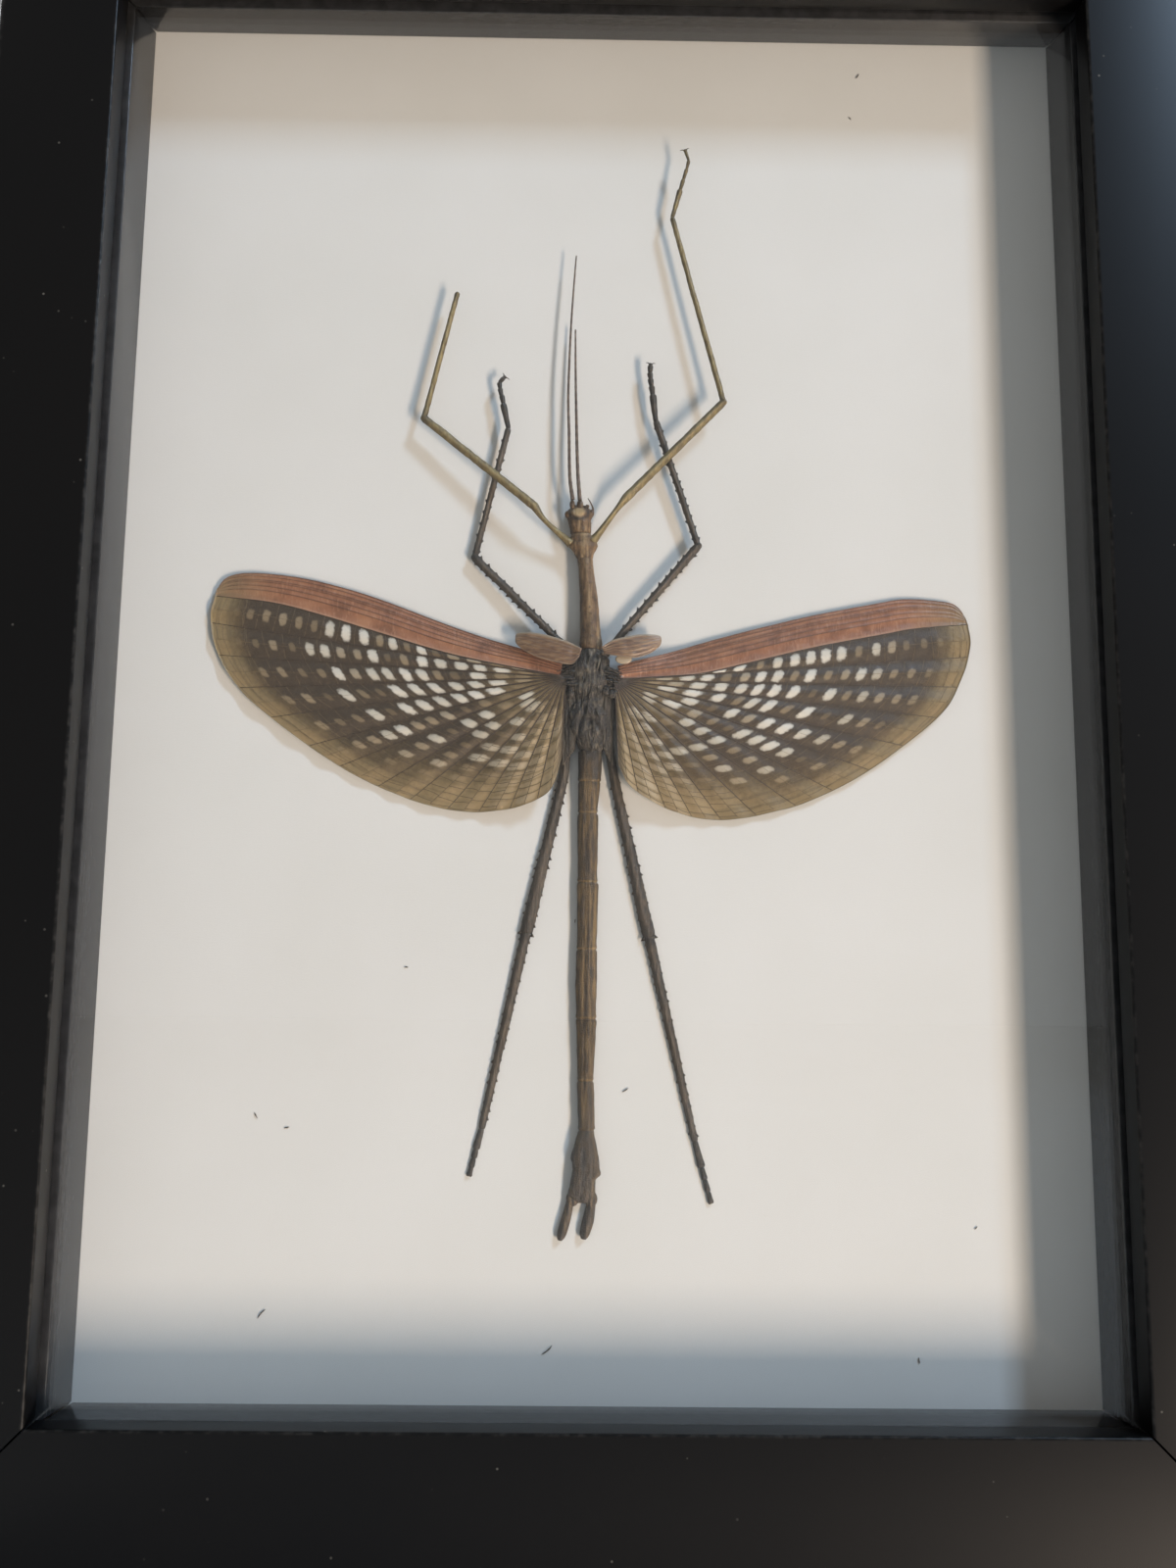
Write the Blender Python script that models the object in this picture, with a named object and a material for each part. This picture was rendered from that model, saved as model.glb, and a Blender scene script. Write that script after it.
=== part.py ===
"""A winged stick insect, spread on white board in a black box frame with a glass front.

The frame stands on its bottom rail. X runs to the right as seen from the front, Z up, and the front looks
along -Y. The origin is in the middle of the frame's underside. All sizes below are in millimetres.
"""

import math

import bmesh
import bpy
from mathutils import Vector

MM = 0.001
GAP = 0.3

# Frame

OPENING_W = 151.6
OPENING_H = 215.0
RAIL_W = 18.5
FRAME_DEPTH = 32.0
LIP_DEPTH = 4.5
LIP_OVERHANG = 5.0
FACE_EDGE = 0.35
OUTER_EDGE = 0.9
FRAME_W = OPENING_W + 2 * RAIL_W
FRAME_H = OPENING_H + 2 * RAIL_W
FACE_Y = -FRAME_DEPTH / 2
MITRE_SET_BACK = GAP / math.sqrt(2)

GLASS_THICKNESS = 1.1
GLASS_SIDE_CLEARANCE = 0.5
GLASS_FRONT = LIP_DEPTH + GAP
GLASS_BACK = GLASS_FRONT + GLASS_THICKNESS

BOARD_VISIBLE_W = 148.0
BOARD_VISIBLE_H = 215.5
BOARD_FRONT = 13.85
BOARD_THICKNESS = 2.0
SPACER_FRONT = GLASS_BACK + GAP
SPACER_BACK = BOARD_FRONT - GAP
# How much further out a spacer's inner face is at the glass than at the board.
SPACER_LEAN = {"left": 1.1, "right": 1.4, "top": -1.1, "bottom": 0.2}

PANEL_THICKNESS = 2.5
PANEL_FRONT = BOARD_FRONT + BOARD_THICKNESS + GAP
PANEL_BACK = PANEL_FRONT + PANEL_THICKNESS

TAB_LENGTH = 11.0
TAB_WIDTH = 7.0
TAB_THICKNESS = 0.6
TAB_RISE = 2.2
TAB_HEIGHTS = (-62.0, 62.0)
HANGER_W = 44.0
HANGER_H = 13.0
HANGER_THICKNESS = 1.0
HANGER_HOLE_R = 3.2
HANGER_TOP = 82.0

# Insect. Its own axes are u to the right, v up the frame and h away from the board, in millimetres,
# with the zero of u and v between the wing roots.

ROOT_X = -0.97
ROOT_Z = FRAME_H / 2 - 0.9
BODY_SIDES = 12

# Each row of a body part is v, the left and right edges in u, and the thickness.
HEAD = (
    (27.3, -2.9, -0.7, 1.2),
    (26.7, -3.6, -0.4, 2.2),
    (25.9, -4.1, 0.0, 2.7),
    (24.9, -4.2, 0.1, 2.8),
    (24.0, -3.7, -0.2, 2.6),
    (22.9, -3.3, -0.4, 2.2),
)
PROTHORAX = (
    (22.5, -3.1, -0.5, 2.1),
    (21.7, -3.5, 0.5, 2.5),
    (20.7, -3.4, 0.7, 2.6),
    (19.7, -2.9, 0.4, 2.5),
    (18.8, -2.4, 0.2, 2.2),
)
MESOTHORAX = (
    (18.5, -2.4, 0.4, 2.3),
    (17.6, -2.1, 0.4, 2.4),
    (12.3, -1.7, 1.1, 2.5),
    (6.5, -1.6, 1.6, 2.7),
    (4.8, -1.7, 1.9, 2.9),
    (4.2, -1.5, 1.7, 2.6),
)
METATHORAX = (
    (3.9, -1.9, 2.0, 2.8),
    (2.6, -2.7, 2.6, 3.3),
    (0.6, -3.2, 3.1, 3.4),
    (-1.5, -3.0, 2.9, 3.2),
    (-4.0, -2.7, 2.6, 2.9),
    (-6.3, -3.2, 2.8, 3.2),
    (-8.6, -2.9, 2.7, 3.1),
    (-10.4, -2.3, 2.2, 2.8),
    (-11.6, -2.0, 1.9, 2.5),
)
ABDOMEN = (
    (-11.9, -1.9, 2.0, 2.6),
    (-13.6, -1.8, 1.8, 2.7),
    (-20.9, -1.6, 1.3, 2.5),
    (-21.6, -1.7, 1.5, 2.7),
    (-31.4, -1.5, 1.4, 2.5),
    (-32.1, -1.6, 1.6, 2.7),
    (-41.5, -1.5, 1.4, 2.5),
    (-42.2, -1.6, 1.5, 2.7),
    (-47.0, -1.7, 1.5, 2.7),
    (-51.7, -1.5, 1.4, 2.4),
    (-52.4, -1.5, 1.5, 2.5),
    (-60.8, -1.2, 1.1, 2.1),
    (-61.4, -1.3, 1.2, 2.2),
    (-67.9, -1.0, 1.4, 2.1),
    (-68.6, -1.1, 1.3, 2.3),
    (-72.0, -2.1, 2.0, 2.6),
    (-73.6, -1.7, 2.2, 2.5),
    (-74.5, -1.8, 2.5, 2.4),
    (-75.2, -2.0, 1.5, 2.2),
    (-77.0, -2.4, 1.6, 1.9),
    (-78.3, -2.7, 2.0, 1.5),
    (-79.0, -2.5, 1.7, 1.0),
)
# Each row of a tail flap is u, v, half width and half thickness, from its root to its tip.
CERCUS_LEFT = (
    (-2.3, -79.4, 0.45, 0.35),
    (-2.8, -81.3, 0.85, 0.3),
    (-3.3, -83.1, 0.75, 0.28),
    (-3.6, -84.0, 0.3, 0.2),
)
CERCUS_RIGHT = (
    (0.8, -79.5, 0.5, 0.35),
    (0.5, -81.3, 0.95, 0.3),
    (0.0, -83.0, 0.8, 0.28),
    (-0.2, -83.8, 0.3, 0.2),
)
CERCUS_HEIGHT = 0.9

# Each knot of a limb is u, v, h and the radius there, from the body outwards.
ANTENNA_LEFT = (
    (-3.0, 27.9, 2.8, 0.34),
    (-3.5, 31.8, 2.8, 0.28),
    (-3.7, 38.8, 2.7, 0.24),
    (-3.9, 45.6, 2.6, 0.21),
    (-3.6, 56.9, 2.4, 0.17),
    (-3.1, 66.0, 2.2, 0.12),
    (-2.9, 69.0, 2.2, 0.08),
)
ANTENNA_RIGHT = (
    (-1.9, 27.9, 2.8, 0.34),
    (-2.3, 33.4, 2.6, 0.28),
    (-2.6, 42.3, 2.2, 0.23),
    (-2.8, 50.0, 1.8, 0.18),
    (-2.9, 56.7, 1.5, 0.13),
)
# A segment is smooth, or has teeth: their spacing and their length.
SMOOTH = None
FEMUR_TEETH = (1.5, 0.32)
TIBIA_TEETH = (2.1, 0.22)
LEGS = {
    "fore_leg_left": (
        ((-4.3, 21.9, 2.2, 0.5), SMOOTH),
        ((-7.3, 24.4, 2.9, 0.36), SMOOTH),
        ((-9.0, 26.6, 3.4, 0.62), SMOOTH),
        ((-26.6, 41.1, 2.3, 0.55), SMOOTH),
        ((-21.8, 62.2, 2.5, 0.36), SMOOTH),
    ),
    "fore_leg_right": (
        ((1.1, 22.6, 2.2, 0.5), SMOOTH),
        ((3.7, 26.1, 2.9, 0.38), SMOOTH),
        ((5.3, 28.1, 3.3, 0.62), SMOOTH),
        ((20.6, 44.2, 3.0, 0.55), SMOOTH),
        ((12.5, 75.8, 2.3, 0.36), SMOOTH),
        ((13.8, 80.6, 2.6, 0.3), SMOOTH),
        ((15.1, 85.3, 3.1, 0.34), SMOOTH),
        ((14.6, 86.9, 3.1, 0.2), SMOOTH),
    ),
    "mid_leg_left": (
        ((-3.2, 4.3, 1.6, 0.55), SMOOTH),
        ((-5.2, 5.8, 1.7, 0.5), FEMUR_TEETH),
        ((-18.2, 18.9, 1.0, 0.58), TIBIA_TEETH),
        ((-13.3, 39.8, 1.8, 0.42), SMOOTH),
        ((-14.9, 48.1, 1.8, 0.34), SMOOTH),
        ((-13.9, 48.9, 1.7, 0.25), SMOOTH),
    ),
    "mid_leg_right": (
        ((3.2, 4.6, 1.6, 0.55), SMOOTH),
        ((5.0, 6.9, 1.7, 0.5), FEMUR_TEETH),
        ((16.7, 21.1, 1.5, 0.58), TIBIA_TEETH),
        ((10.0, 41.4, 1.8, 0.42), SMOOTH),
        ((9.0, 49.8, 2.0, 0.34), SMOOTH),
        ((9.2, 51.1, 2.0, 0.42), SMOOTH),
    ),
    "hind_leg_left": (
        ((-3.4, -11.2, 1.4, 0.65), SMOOTH),
        ((-3.8, -15.4, 1.3, 0.66), FEMUR_TEETH),
        ((-9.2, -39.4, 1.35, 0.9), TIBIA_TEETH),
        ((-15.3, -68.2, 1.1, 0.46), SMOOTH),
        ((-17.0, -75.0, 0.9, 0.34), SMOOTH),
    ),
    "hind_leg_right": (
        ((3.1, -11.4, 1.4, 0.65), SMOOTH),
        ((3.9, -15.9, 1.3, 0.66), FEMUR_TEETH),
        ((9.3, -39.8, 1.35, 0.9), TIBIA_TEETH),
        ((16.2, -69.7, 1.1, 0.46), SMOOTH),
        ((18.6, -78.6, 0.9, 0.34), SMOOTH),
    ),
}
LEG_SIDES = 6
ANTENNA_SIDES = 5

# A hind wing is a stiff front strip, between its leading edge and the strip's rear edge, and a pleated fan
# around the root, whose margin runs from the tip back to the body. Points are u, v.
WING_THICKNESS = 0.3
WING_ROOT_HEIGHT = 2.9
WING_TIP_HEIGHT = 0.55
WING_DROOP = 1.5
WING_REACH = 59.0
WING_DEPTH = 24.0
# Nearer to the body than this, the rear margin stays up, clear of the hind legs.
WING_RAISED_W = 14.0
PLEAT_HEIGHT = 0.3
STRIP_COLUMNS = 16
STRIP_ROWS = 4
FAN_VEINS = 13
FAN_RINGS = (0.12, 0.32, 0.54, 0.77, 1.0)
WINGS = {
    "left": {
        "root": (-3.8, -0.5),
        "leading": ((-3.9, 1.5), (-10.2, 4.0), (-20.4, 7.2), (-32.8, 11.7), (-40.9, 14.2), (-47.1, 15.5),
                    (-53.2, 16.0), (-56.6, 15.3), (-58.2, 13.4)),
        "strip_rear": ((-4.2, -0.4), (-20.3, 2.8), (-32.6, 6.4), (-40.7, 8.9), (-49.1, 11.1), (-58.4, 12.2)),
        "margin": ((-58.4, 12.2), (-58.9, 8.4), (-57.7, 3.4), (-55.3, -0.8), (-51.5, -4.9), (-42.8, -11.4),
                   (-35.8, -15.7), (-29.3, -18.6), (-23.7, -20.4), (-17.8, -21.2), (-11.8, -20.7),
                   (-7.8, -19.3), (-5.5, -17.4), (-4.1, -12.9)),
    },
    "right": {
        "root": (3.8, -0.8),
        "leading": ((3.9, 1.2), (10.0, 3.2), (19.2, 6.0), (32.8, 9.6), (43.1, 11.9), (49.3, 13.1),
                    (55.5, 12.8), (57.4, 12.0), (58.5, 10.4)),
        "strip_rear": ((4.4, -0.7), (15.6, 0.2), (24.5, 2.3), (34.7, 5.0), (45.0, 7.2), (50.8, 8.4), (58.9, 9.2)),
        "margin": ((58.9, 9.2), (59.1, 5.6), (58.0, 1.5), (54.9, -4.4), (48.3, -10.2), (40.8, -15.4),
                   (33.2, -19.1), (27.9, -20.7), (22.4, -21.8), (17.2, -21.8), (11.5, -20.3), (6.4, -17.3),
                   (4.4, -13.9)),
    },
}
FORE_WING_THICKNESS = 0.3
FORE_WING_HEIGHT = 4.15
FORE_WING_CROWN = 0.5
FORE_WINGS = {
    "left": ((-11.5, 5.8), (-11.2, 6.4), (-8.6, 6.3), (-5.8, 5.7), (-3.3, 4.8), (-1.3, 3.8), (-1.7, 2.4),
             (-2.9, 1.3), (-5.4, 1.7), (-7.9, 2.4), (-10.1, 3.6), (-11.2, 4.8)),
    "right": ((10.9, 5.5), (10.2, 6.2), (7.6, 6.2), (5.4, 5.8), (3.4, 5.2), (1.6, 4.0), (2.2, 3.0),
              (4.2, 2.7), (5.8, 2.5), (7.2, 2.6), (9.2, 3.4), (10.4, 4.5)),
}

# Colours: red, green, blue, then roughness and metallic.

BLACK_PAINT = (0.012, 0.012, 0.013, 0.4, 0.0)
BLACK_BAR = (0.02, 0.02, 0.021, 0.25, 0.0)
CLEAR = (0.9, 0.95, 0.93, 0.03, 0.0)
WHITE_BOARD = (0.75, 0.74, 0.71, 0.85, 0.0)
FIBREBOARD = (0.28, 0.17, 0.09, 0.8, 0.0)
STEEL = (0.55, 0.55, 0.53, 0.35, 1.0)
BODY_BROWN = (0.13, 0.085, 0.045, 0.55, 0.0)
THORAX_TAN = (0.2, 0.14, 0.08, 0.6, 0.0)
LEG_OLIVE = (0.24, 0.18, 0.07, 0.5, 0.0)
LEG_DARK = (0.07, 0.055, 0.04, 0.6, 0.0)
WING_BROWN = (0.22, 0.16, 0.09, 0.5, 0.0)
FORE_WING_BROWN = (0.2, 0.11, 0.06, 0.45, 0.0)


def clear_scene():
    for obj in list(bpy.data.objects):
        bpy.data.objects.remove(obj, do_unlink=True)


def make_material(name, look):
    material = bpy.data.materials.new(name)
    material.use_nodes = True
    shader = material.node_tree.nodes["Principled BSDF"]
    shader.inputs["Base Color"].default_value = (*look[:3], 1.0)
    shader.inputs["Roughness"].default_value = look[3]
    shader.inputs["Metallic"].default_value = look[4]
    return material


def make_object(name, bm, look, smooth=False):
    """Turn a mesh drawn in millimetres into a named object in metres."""
    bmesh.ops.recalc_face_normals(bm, faces=bm.faces)
    bmesh.ops.scale(bm, vec=(MM, MM, MM), verts=bm.verts)
    mesh = bpy.data.meshes.new(name)
    bm.to_mesh(mesh)
    bm.free()
    if smooth:
        mesh.shade_smooth()
        mesh.set_sharp_from_angle(angle=math.radians(40))
    obj = bpy.data.objects.new(name, mesh)
    obj.data.materials.append(make_material(name, look))
    bpy.context.collection.objects.link(obj)
    return obj


def add_box(bm, low, high):
    """Add a box between two corners."""
    corners = [bm.verts.new((x, y, z)) for x in (low[0], high[0]) for y in (low[1], high[1])
               for z in (low[2], high[2])]
    for face in ((0, 1, 3, 2), (4, 6, 7, 5), (0, 4, 5, 1), (2, 3, 7, 6), (0, 2, 6, 4), (1, 5, 7, 3)):
        bm.faces.new([corners[i] for i in face])


def skin_rings(bm, rings):
    """Join rings of vertices, one after the other, into a closed tube."""
    for ring, following in zip(rings, rings[1:]):
        for i in range(len(ring)):
            j = (i + 1) % len(ring)
            bm.faces.new((ring[i], ring[j], following[j], following[i]))
    bm.faces.new(rings[0])
    bm.faces.new(list(reversed(rings[-1])))


# Frame pieces

def rail_profile():
    """The rail's section: how far out from the opening, and how deep behind the face."""
    return (
        (0.0, LIP_DEPTH),
        (0.0, FACE_EDGE),
        (FACE_EDGE, 0.0),
        (RAIL_W - OUTER_EDGE, 0.0),
        (RAIL_W, OUTER_EDGE),
        (RAIL_W, FRAME_DEPTH - OUTER_EDGE),
        (RAIL_W - OUTER_EDGE, FRAME_DEPTH),
        (LIP_OVERHANG, FRAME_DEPTH),
        (LIP_OVERHANG, LIP_DEPTH),
    )


def spacer_profile(side):
    """A spacer's section, measured from the edge of the visible board."""
    opening = OPENING_W if side in ("left", "right") else OPENING_H
    board = BOARD_VISIBLE_W if side in ("left", "right") else BOARD_VISIBLE_H
    outer = (opening - board) / 2 + LIP_OVERHANG - GLASS_SIDE_CLEARANCE
    return (
        (0.0, SPACER_BACK),
        (SPACER_LEAN[side], SPACER_FRONT),
        (outer, SPACER_FRONT),
        (outer, SPACER_BACK),
    )


def mitred_bar(name, side, profiles, inner_w, inner_h, look):
    """One bar of four around an opening, cut at each end against its neighbours' sections."""
    across = side in ("top", "bottom")
    outward = 1 if side in ("right", "top") else -1
    neighbours = ("left", "right") if across else ("bottom", "top")
    half_out = (inner_h if across else inner_w) / 2
    half_along = (inner_w if across else inner_h) / 2
    bm = bmesh.new()
    ends = []
    for sign, neighbour in zip((-1, 1), neighbours):
        ring = []
        for (out, depth), (reach, _) in zip(profiles[side], profiles[neighbour]):
            along = sign * (half_along + reach - MITRE_SET_BACK)
            off = outward * (half_out + out)
            x, z = (along, off) if across else (off, along)
            ring.append(bm.verts.new((x, FACE_Y + depth, FRAME_H / 2 + z)))
        ends.append(ring)
    skin_rings(bm, ends)
    return make_object(name, bm, look)


def build_bars():
    sides = ("left", "right", "top", "bottom")
    rails = {side: rail_profile() for side in sides}
    spacers = {side: spacer_profile(side) for side in sides}
    for side in sides:
        mitred_bar("frame_rail_" + side, side, rails, OPENING_W, OPENING_H, BLACK_PAINT)
        mitred_bar("spacer_" + side, side, spacers, BOARD_VISIBLE_W, BOARD_VISIBLE_H, BLACK_BAR)


def build_sheet(name, front, thickness, look):
    """A flat sheet that fills the rebate, at a depth behind the face."""
    half_w = OPENING_W / 2 + LIP_OVERHANG - GLASS_SIDE_CLEARANCE
    half_h = OPENING_H / 2 + LIP_OVERHANG - GLASS_SIDE_CLEARANCE
    bm = bmesh.new()
    add_box(bm, (-half_w, FACE_Y + front, FRAME_H / 2 - half_h),
            (half_w, FACE_Y + front + thickness, FRAME_H / 2 + half_h))
    return make_object(name, bm, look)


def build_tab(name, side, height):
    """A steel strip that lies on the back panel and lifts a little at its free end."""
    sign = 1 if side == "right" else -1
    wall = OPENING_W / 2 + LIP_OVERHANG - GAP
    lay = FACE_Y + PANEL_BACK + GAP
    bend = wall - TAB_LENGTH * 0.75
    bm = bmesh.new()
    rings = []
    for reach, rise in ((wall, 0.0), (bend, 0.0), (wall - TAB_LENGTH, TAB_RISE)):
        ring = []
        for dy, dz in ((0, -1), (TAB_THICKNESS, -1), (TAB_THICKNESS, 1), (0, 1)):
            z = FRAME_H / 2 + height + dz * TAB_WIDTH / 2
            ring.append(bm.verts.new((sign * reach, lay + rise + dy, z)))
        rings.append(ring)
    skin_rings(bm, rings)
    return make_object(name, bm, STEEL)


def build_hanger():
    """A steel plate with round ends and a keyhole for a nail, on the back panel."""
    lay = FACE_Y + PANEL_BACK + GAP
    middle = FRAME_H / 2 + HANGER_TOP - HANGER_H / 2
    bm = bmesh.new()
    outline = []
    straight = HANGER_W / 2 - HANGER_H / 2
    for step in range(16):
        angle = -math.pi / 2 + math.pi * step / 7 if step < 8 else math.pi / 2 + math.pi * (step - 8) / 7
        centre = straight if step < 8 else -straight
        outline.append((centre + HANGER_H / 2 * math.cos(angle), middle + HANGER_H / 2 * math.sin(angle)))
    front = [bm.verts.new((x, lay, z)) for x, z in outline]
    back = [bm.verts.new((x, lay + HANGER_THICKNESS, z)) for x, z in outline]
    skin_rings(bm, [front, back])
    plate = make_object("hanger", bm, STEEL)
    cut_hanger_hole(plate, middle)
    return plate


def cut_hanger_hole(plate, middle):
    bpy.ops.mesh.primitive_cylinder_add(vertices=16, radius=HANGER_HOLE_R * MM, depth=8 * MM)
    cutter = bpy.context.object
    cutter.name = "hanger_hole_cutter"
    cutter.rotation_euler = (math.pi / 2, 0, 0)
    cutter.location = (0, (FACE_Y + PANEL_BACK + GAP) * MM, middle * MM)
    cutter.hide_render = True
    cutter.display_type = "WIRE"
    cut = plate.modifiers.new("nail hole", "BOOLEAN")
    cut.operation = "DIFFERENCE"
    cut.solver = "EXACT"
    cut.object = cutter


def build_frame():
    build_bars()
    build_sheet("glass", GLASS_FRONT, GLASS_THICKNESS, CLEAR)
    build_sheet("backing_board", BOARD_FRONT, BOARD_THICKNESS, WHITE_BOARD)
    build_sheet("back_panel", PANEL_FRONT, PANEL_THICKNESS, FIBREBOARD)
    places = [(side, height) for side in ("left", "right") for height in TAB_HEIGHTS]
    for number, (side, height) in enumerate(places, start=1):
        build_tab("tab_%d" % number, side, height)
    build_hanger()


# Insect pieces

def place(u, v, h):
    """Insect axes to the frame's axes, in millimetres."""
    return Vector((ROOT_X + u, FACE_Y + BOARD_FRONT - h, ROOT_Z + v))


def build_body_part(name, rows, look):
    """A rounded solid through rows of v, left edge, right edge and thickness, just clear of the board."""
    bm = bmesh.new()
    rings = []
    for v, left, right, thickness in rows:
        ring = []
        for step in range(BODY_SIDES):
            angle = 2 * math.pi * step / BODY_SIDES
            u = (left + right) / 2 + (right - left) / 2 * math.cos(angle)
            h = GAP + thickness / 2 * (1 + math.sin(angle))
            ring.append(bm.verts.new(place(u, v, h)))
        rings.append(ring)
    skin_rings(bm, rings)
    return make_object(name, bm, look, smooth=True)


def build_flap(name, rows, look):
    """A thin leaf along rows of u, v, half width and half thickness."""
    axis = Vector((rows[-1][0] - rows[0][0], rows[-1][1] - rows[0][1])).normalized()
    side = Vector((-axis.y, axis.x))
    bm = bmesh.new()
    rings = []
    for u, v, half_w, half_t in rows:
        ring = []
        for step in range(8):
            angle = 2 * math.pi * step / 8
            off = side * half_w * math.cos(angle)
            ring.append(bm.verts.new(place(u + off.x, v + off.y, CERCUS_HEIGHT + half_t * math.sin(angle))))
        rings.append(ring)
    skin_rings(bm, rings)
    return make_object(name, bm, look, smooth=True)


def limb_stations(knots, teeth):
    """Centres, radii, tangents and tooth lengths of a limb's rings, with three rings at each sharp bend."""
    points = [Vector(knot[:3]) for knot in knots]
    radii = [knot[3] for knot in knots]
    runs = [(b - a).normalized() for a, b in zip(points, points[1:])]
    stations = [(points[0], radii[0], runs[0], 0.0)]
    for i, run in enumerate(runs):
        length = (points[i + 1] - points[i]).length
        turn_in = runs[i - 1].angle(run) if i else 0.0
        turn_out = run.angle(runs[i + 1]) if i + 1 < len(runs) else 0.0
        start = bend_room(radii[i], turn_in) / length
        end = 1 - bend_room(radii[i + 1], turn_out) / length
        spacing, tooth = teeth[i] if teeth[i] else (2 * length, 0.0)
        steps = max(1, round((end - start) * length / (spacing / 2)))
        for step in range(steps + 1):
            share = start + (end - start) * step / steps
            if step == 0 and not turn_in:
                continue
            radius = radii[i] + (radii[i + 1] - radii[i]) * share
            spike = tooth if step % 2 and step < steps else 0.0
            stations.append((points[i].lerp(points[i + 1], share), radius, run, spike))
        if turn_out:
            middle = (run + runs[i + 1]).normalized()
            stations.append((points[i + 1], radii[i + 1] * 1.08, middle, 0.0))
    return stations


def bend_room(radius, turn):
    """How far from a bend its neighbouring rings stay, so that they don't cut into each other."""
    return radius * (0.25 + 1.15 * math.tan(turn / 2)) if turn else 0.0


def build_limb(name, knots, teeth, sides, look):
    """A tube along a limb's knots. Teeth are drawn out of its two side lines."""
    up = Vector((0, 0, 1))
    bm = bmesh.new()
    rings = []
    for centre, radius, tangent, spike in limb_stations(knots, teeth):
        side = tangent.cross(up).normalized()
        top = side.cross(tangent).normalized()
        ring = []
        for step in range(sides):
            angle = 2 * math.pi * step / sides
            reach = radius + (spike if step in (0, sides // 2) else 0.0)
            ring.append(bm.verts.new(place(*(centre + side * reach * math.cos(angle)
                                             + top * radius * math.sin(angle)))))
        rings.append(ring)
    skin_rings(bm, rings)
    return make_object(name, bm, look, smooth=True)


def build_leg(name, rows, look):
    knots = [knot for knot, _ in rows]
    teeth = [kind for _, kind in rows[:-1]]
    return build_limb(name, knots, teeth, LEG_SIDES, look)


def smooth_curve(points, share):
    """A point on a smooth curve through the given points, at a share from 0 to 1 of its length."""
    points = [Vector(point) for point in points]
    lengths = [(b - a).length for a, b in zip(points, points[1:])]
    target = share * sum(lengths)
    i = 0
    while i < len(lengths) - 1 and target > lengths[i]:
        target -= lengths[i]
        i += 1
    t = min(1.0, target / lengths[i])
    p1, p2 = points[i], points[i + 1]
    p0 = points[i - 1] if i else 2 * p1 - p2
    p3 = points[i + 2] if i + 2 < len(points) else 2 * p2 - p1
    return 0.5 * (2 * p1 + (p2 - p0) * t + (2 * p0 - 5 * p1 + 4 * p2 - p3) * t * t
                  + (3 * p1 - p0 - 3 * p2 + p3) * t ** 3)


def wing_height(point, root):
    """The wing slopes down to the board, towards its tip and towards its rear margin."""
    out = abs(point.x - root.x)
    back = max(0.0, root.y - point.y)
    drop = (out / WING_REACH) ** WING_DROOP + (back / WING_DEPTH) ** 2 * min(1.0, out / WING_RAISED_W)
    return WING_ROOT_HEIGHT + (WING_TIP_HEIGHT - WING_ROOT_HEIGHT) * min(1.0, drop)


def build_hind_wing(side):
    """A pleated sheet: the front strip's grid, and the fan's rings and folds, sharing one line of points."""
    shape = WINGS[side]
    root = Vector(shape["root"])
    bm = bmesh.new()

    def vertex(point, lift):
        return bm.verts.new(place(point.x, point.y, wing_height(point, root) + lift))

    shares = [i / STRIP_COLUMNS for i in range(STRIP_COLUMNS + 1)]
    rows = []
    for row in range(STRIP_ROWS + 1):
        across = row / STRIP_ROWS
        line = []
        for share in shares:
            front = smooth_curve(shape["leading"], share)
            rear = smooth_curve(shape["strip_rear"], share)
            line.append(vertex(rear.lerp(front, across), PLEAT_HEIGHT * (row % 2)))
        rows.append(line)
    for line, following in zip(rows, rows[1:]):
        for i in range(STRIP_COLUMNS):
            bm.faces.new((line[i], line[i + 1], following[i + 1], following[i]))

    hub = vertex(root, 0.0)
    seam = rows[0]
    seam_stops = [round(ring * STRIP_COLUMNS) for ring in FAN_RINGS]
    columns = []
    for fold in range(1, 2 * FAN_VEINS + 1):
        edge = smooth_curve(shape["margin"], fold / (2 * FAN_VEINS))
        lift = PLEAT_HEIGHT if fold % 2 else 0.0
        columns.append([vertex(root.lerp(edge, ring), lift * ring) for ring in FAN_RINGS])
    first = columns[0]
    bm.faces.new((hub, seam[0], first[0]))
    join_seam(bm, seam, seam_stops, first)
    for column, following in zip(columns, columns[1:]):
        bm.faces.new((hub, column[0], following[0]))
        for i in range(len(FAN_RINGS) - 1):
            bm.faces.new((column[i], column[i + 1], following[i + 1], following[i]))
    wing = make_object("hind_wing_" + side, bm, WING_BROWN)
    thicken(wing, WING_THICKNESS)
    return wing


def join_seam(bm, seam, stops, column):
    """Join the front strip's rear line to the fan's first fold, which has fewer points."""
    bm.faces.new([column[0]] + [seam[i] for i in range(stops[0] + 1)])
    for i in range(len(column) - 1):
        bm.faces.new([column[i + 1], column[i]] + [seam[k] for k in range(stops[i], stops[i + 1] + 1)])


def thicken(obj, thickness):
    shell = obj.modifiers.new("thickness", "SOLIDIFY")
    shell.thickness = thickness * MM
    shell.offset = 0.0


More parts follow.
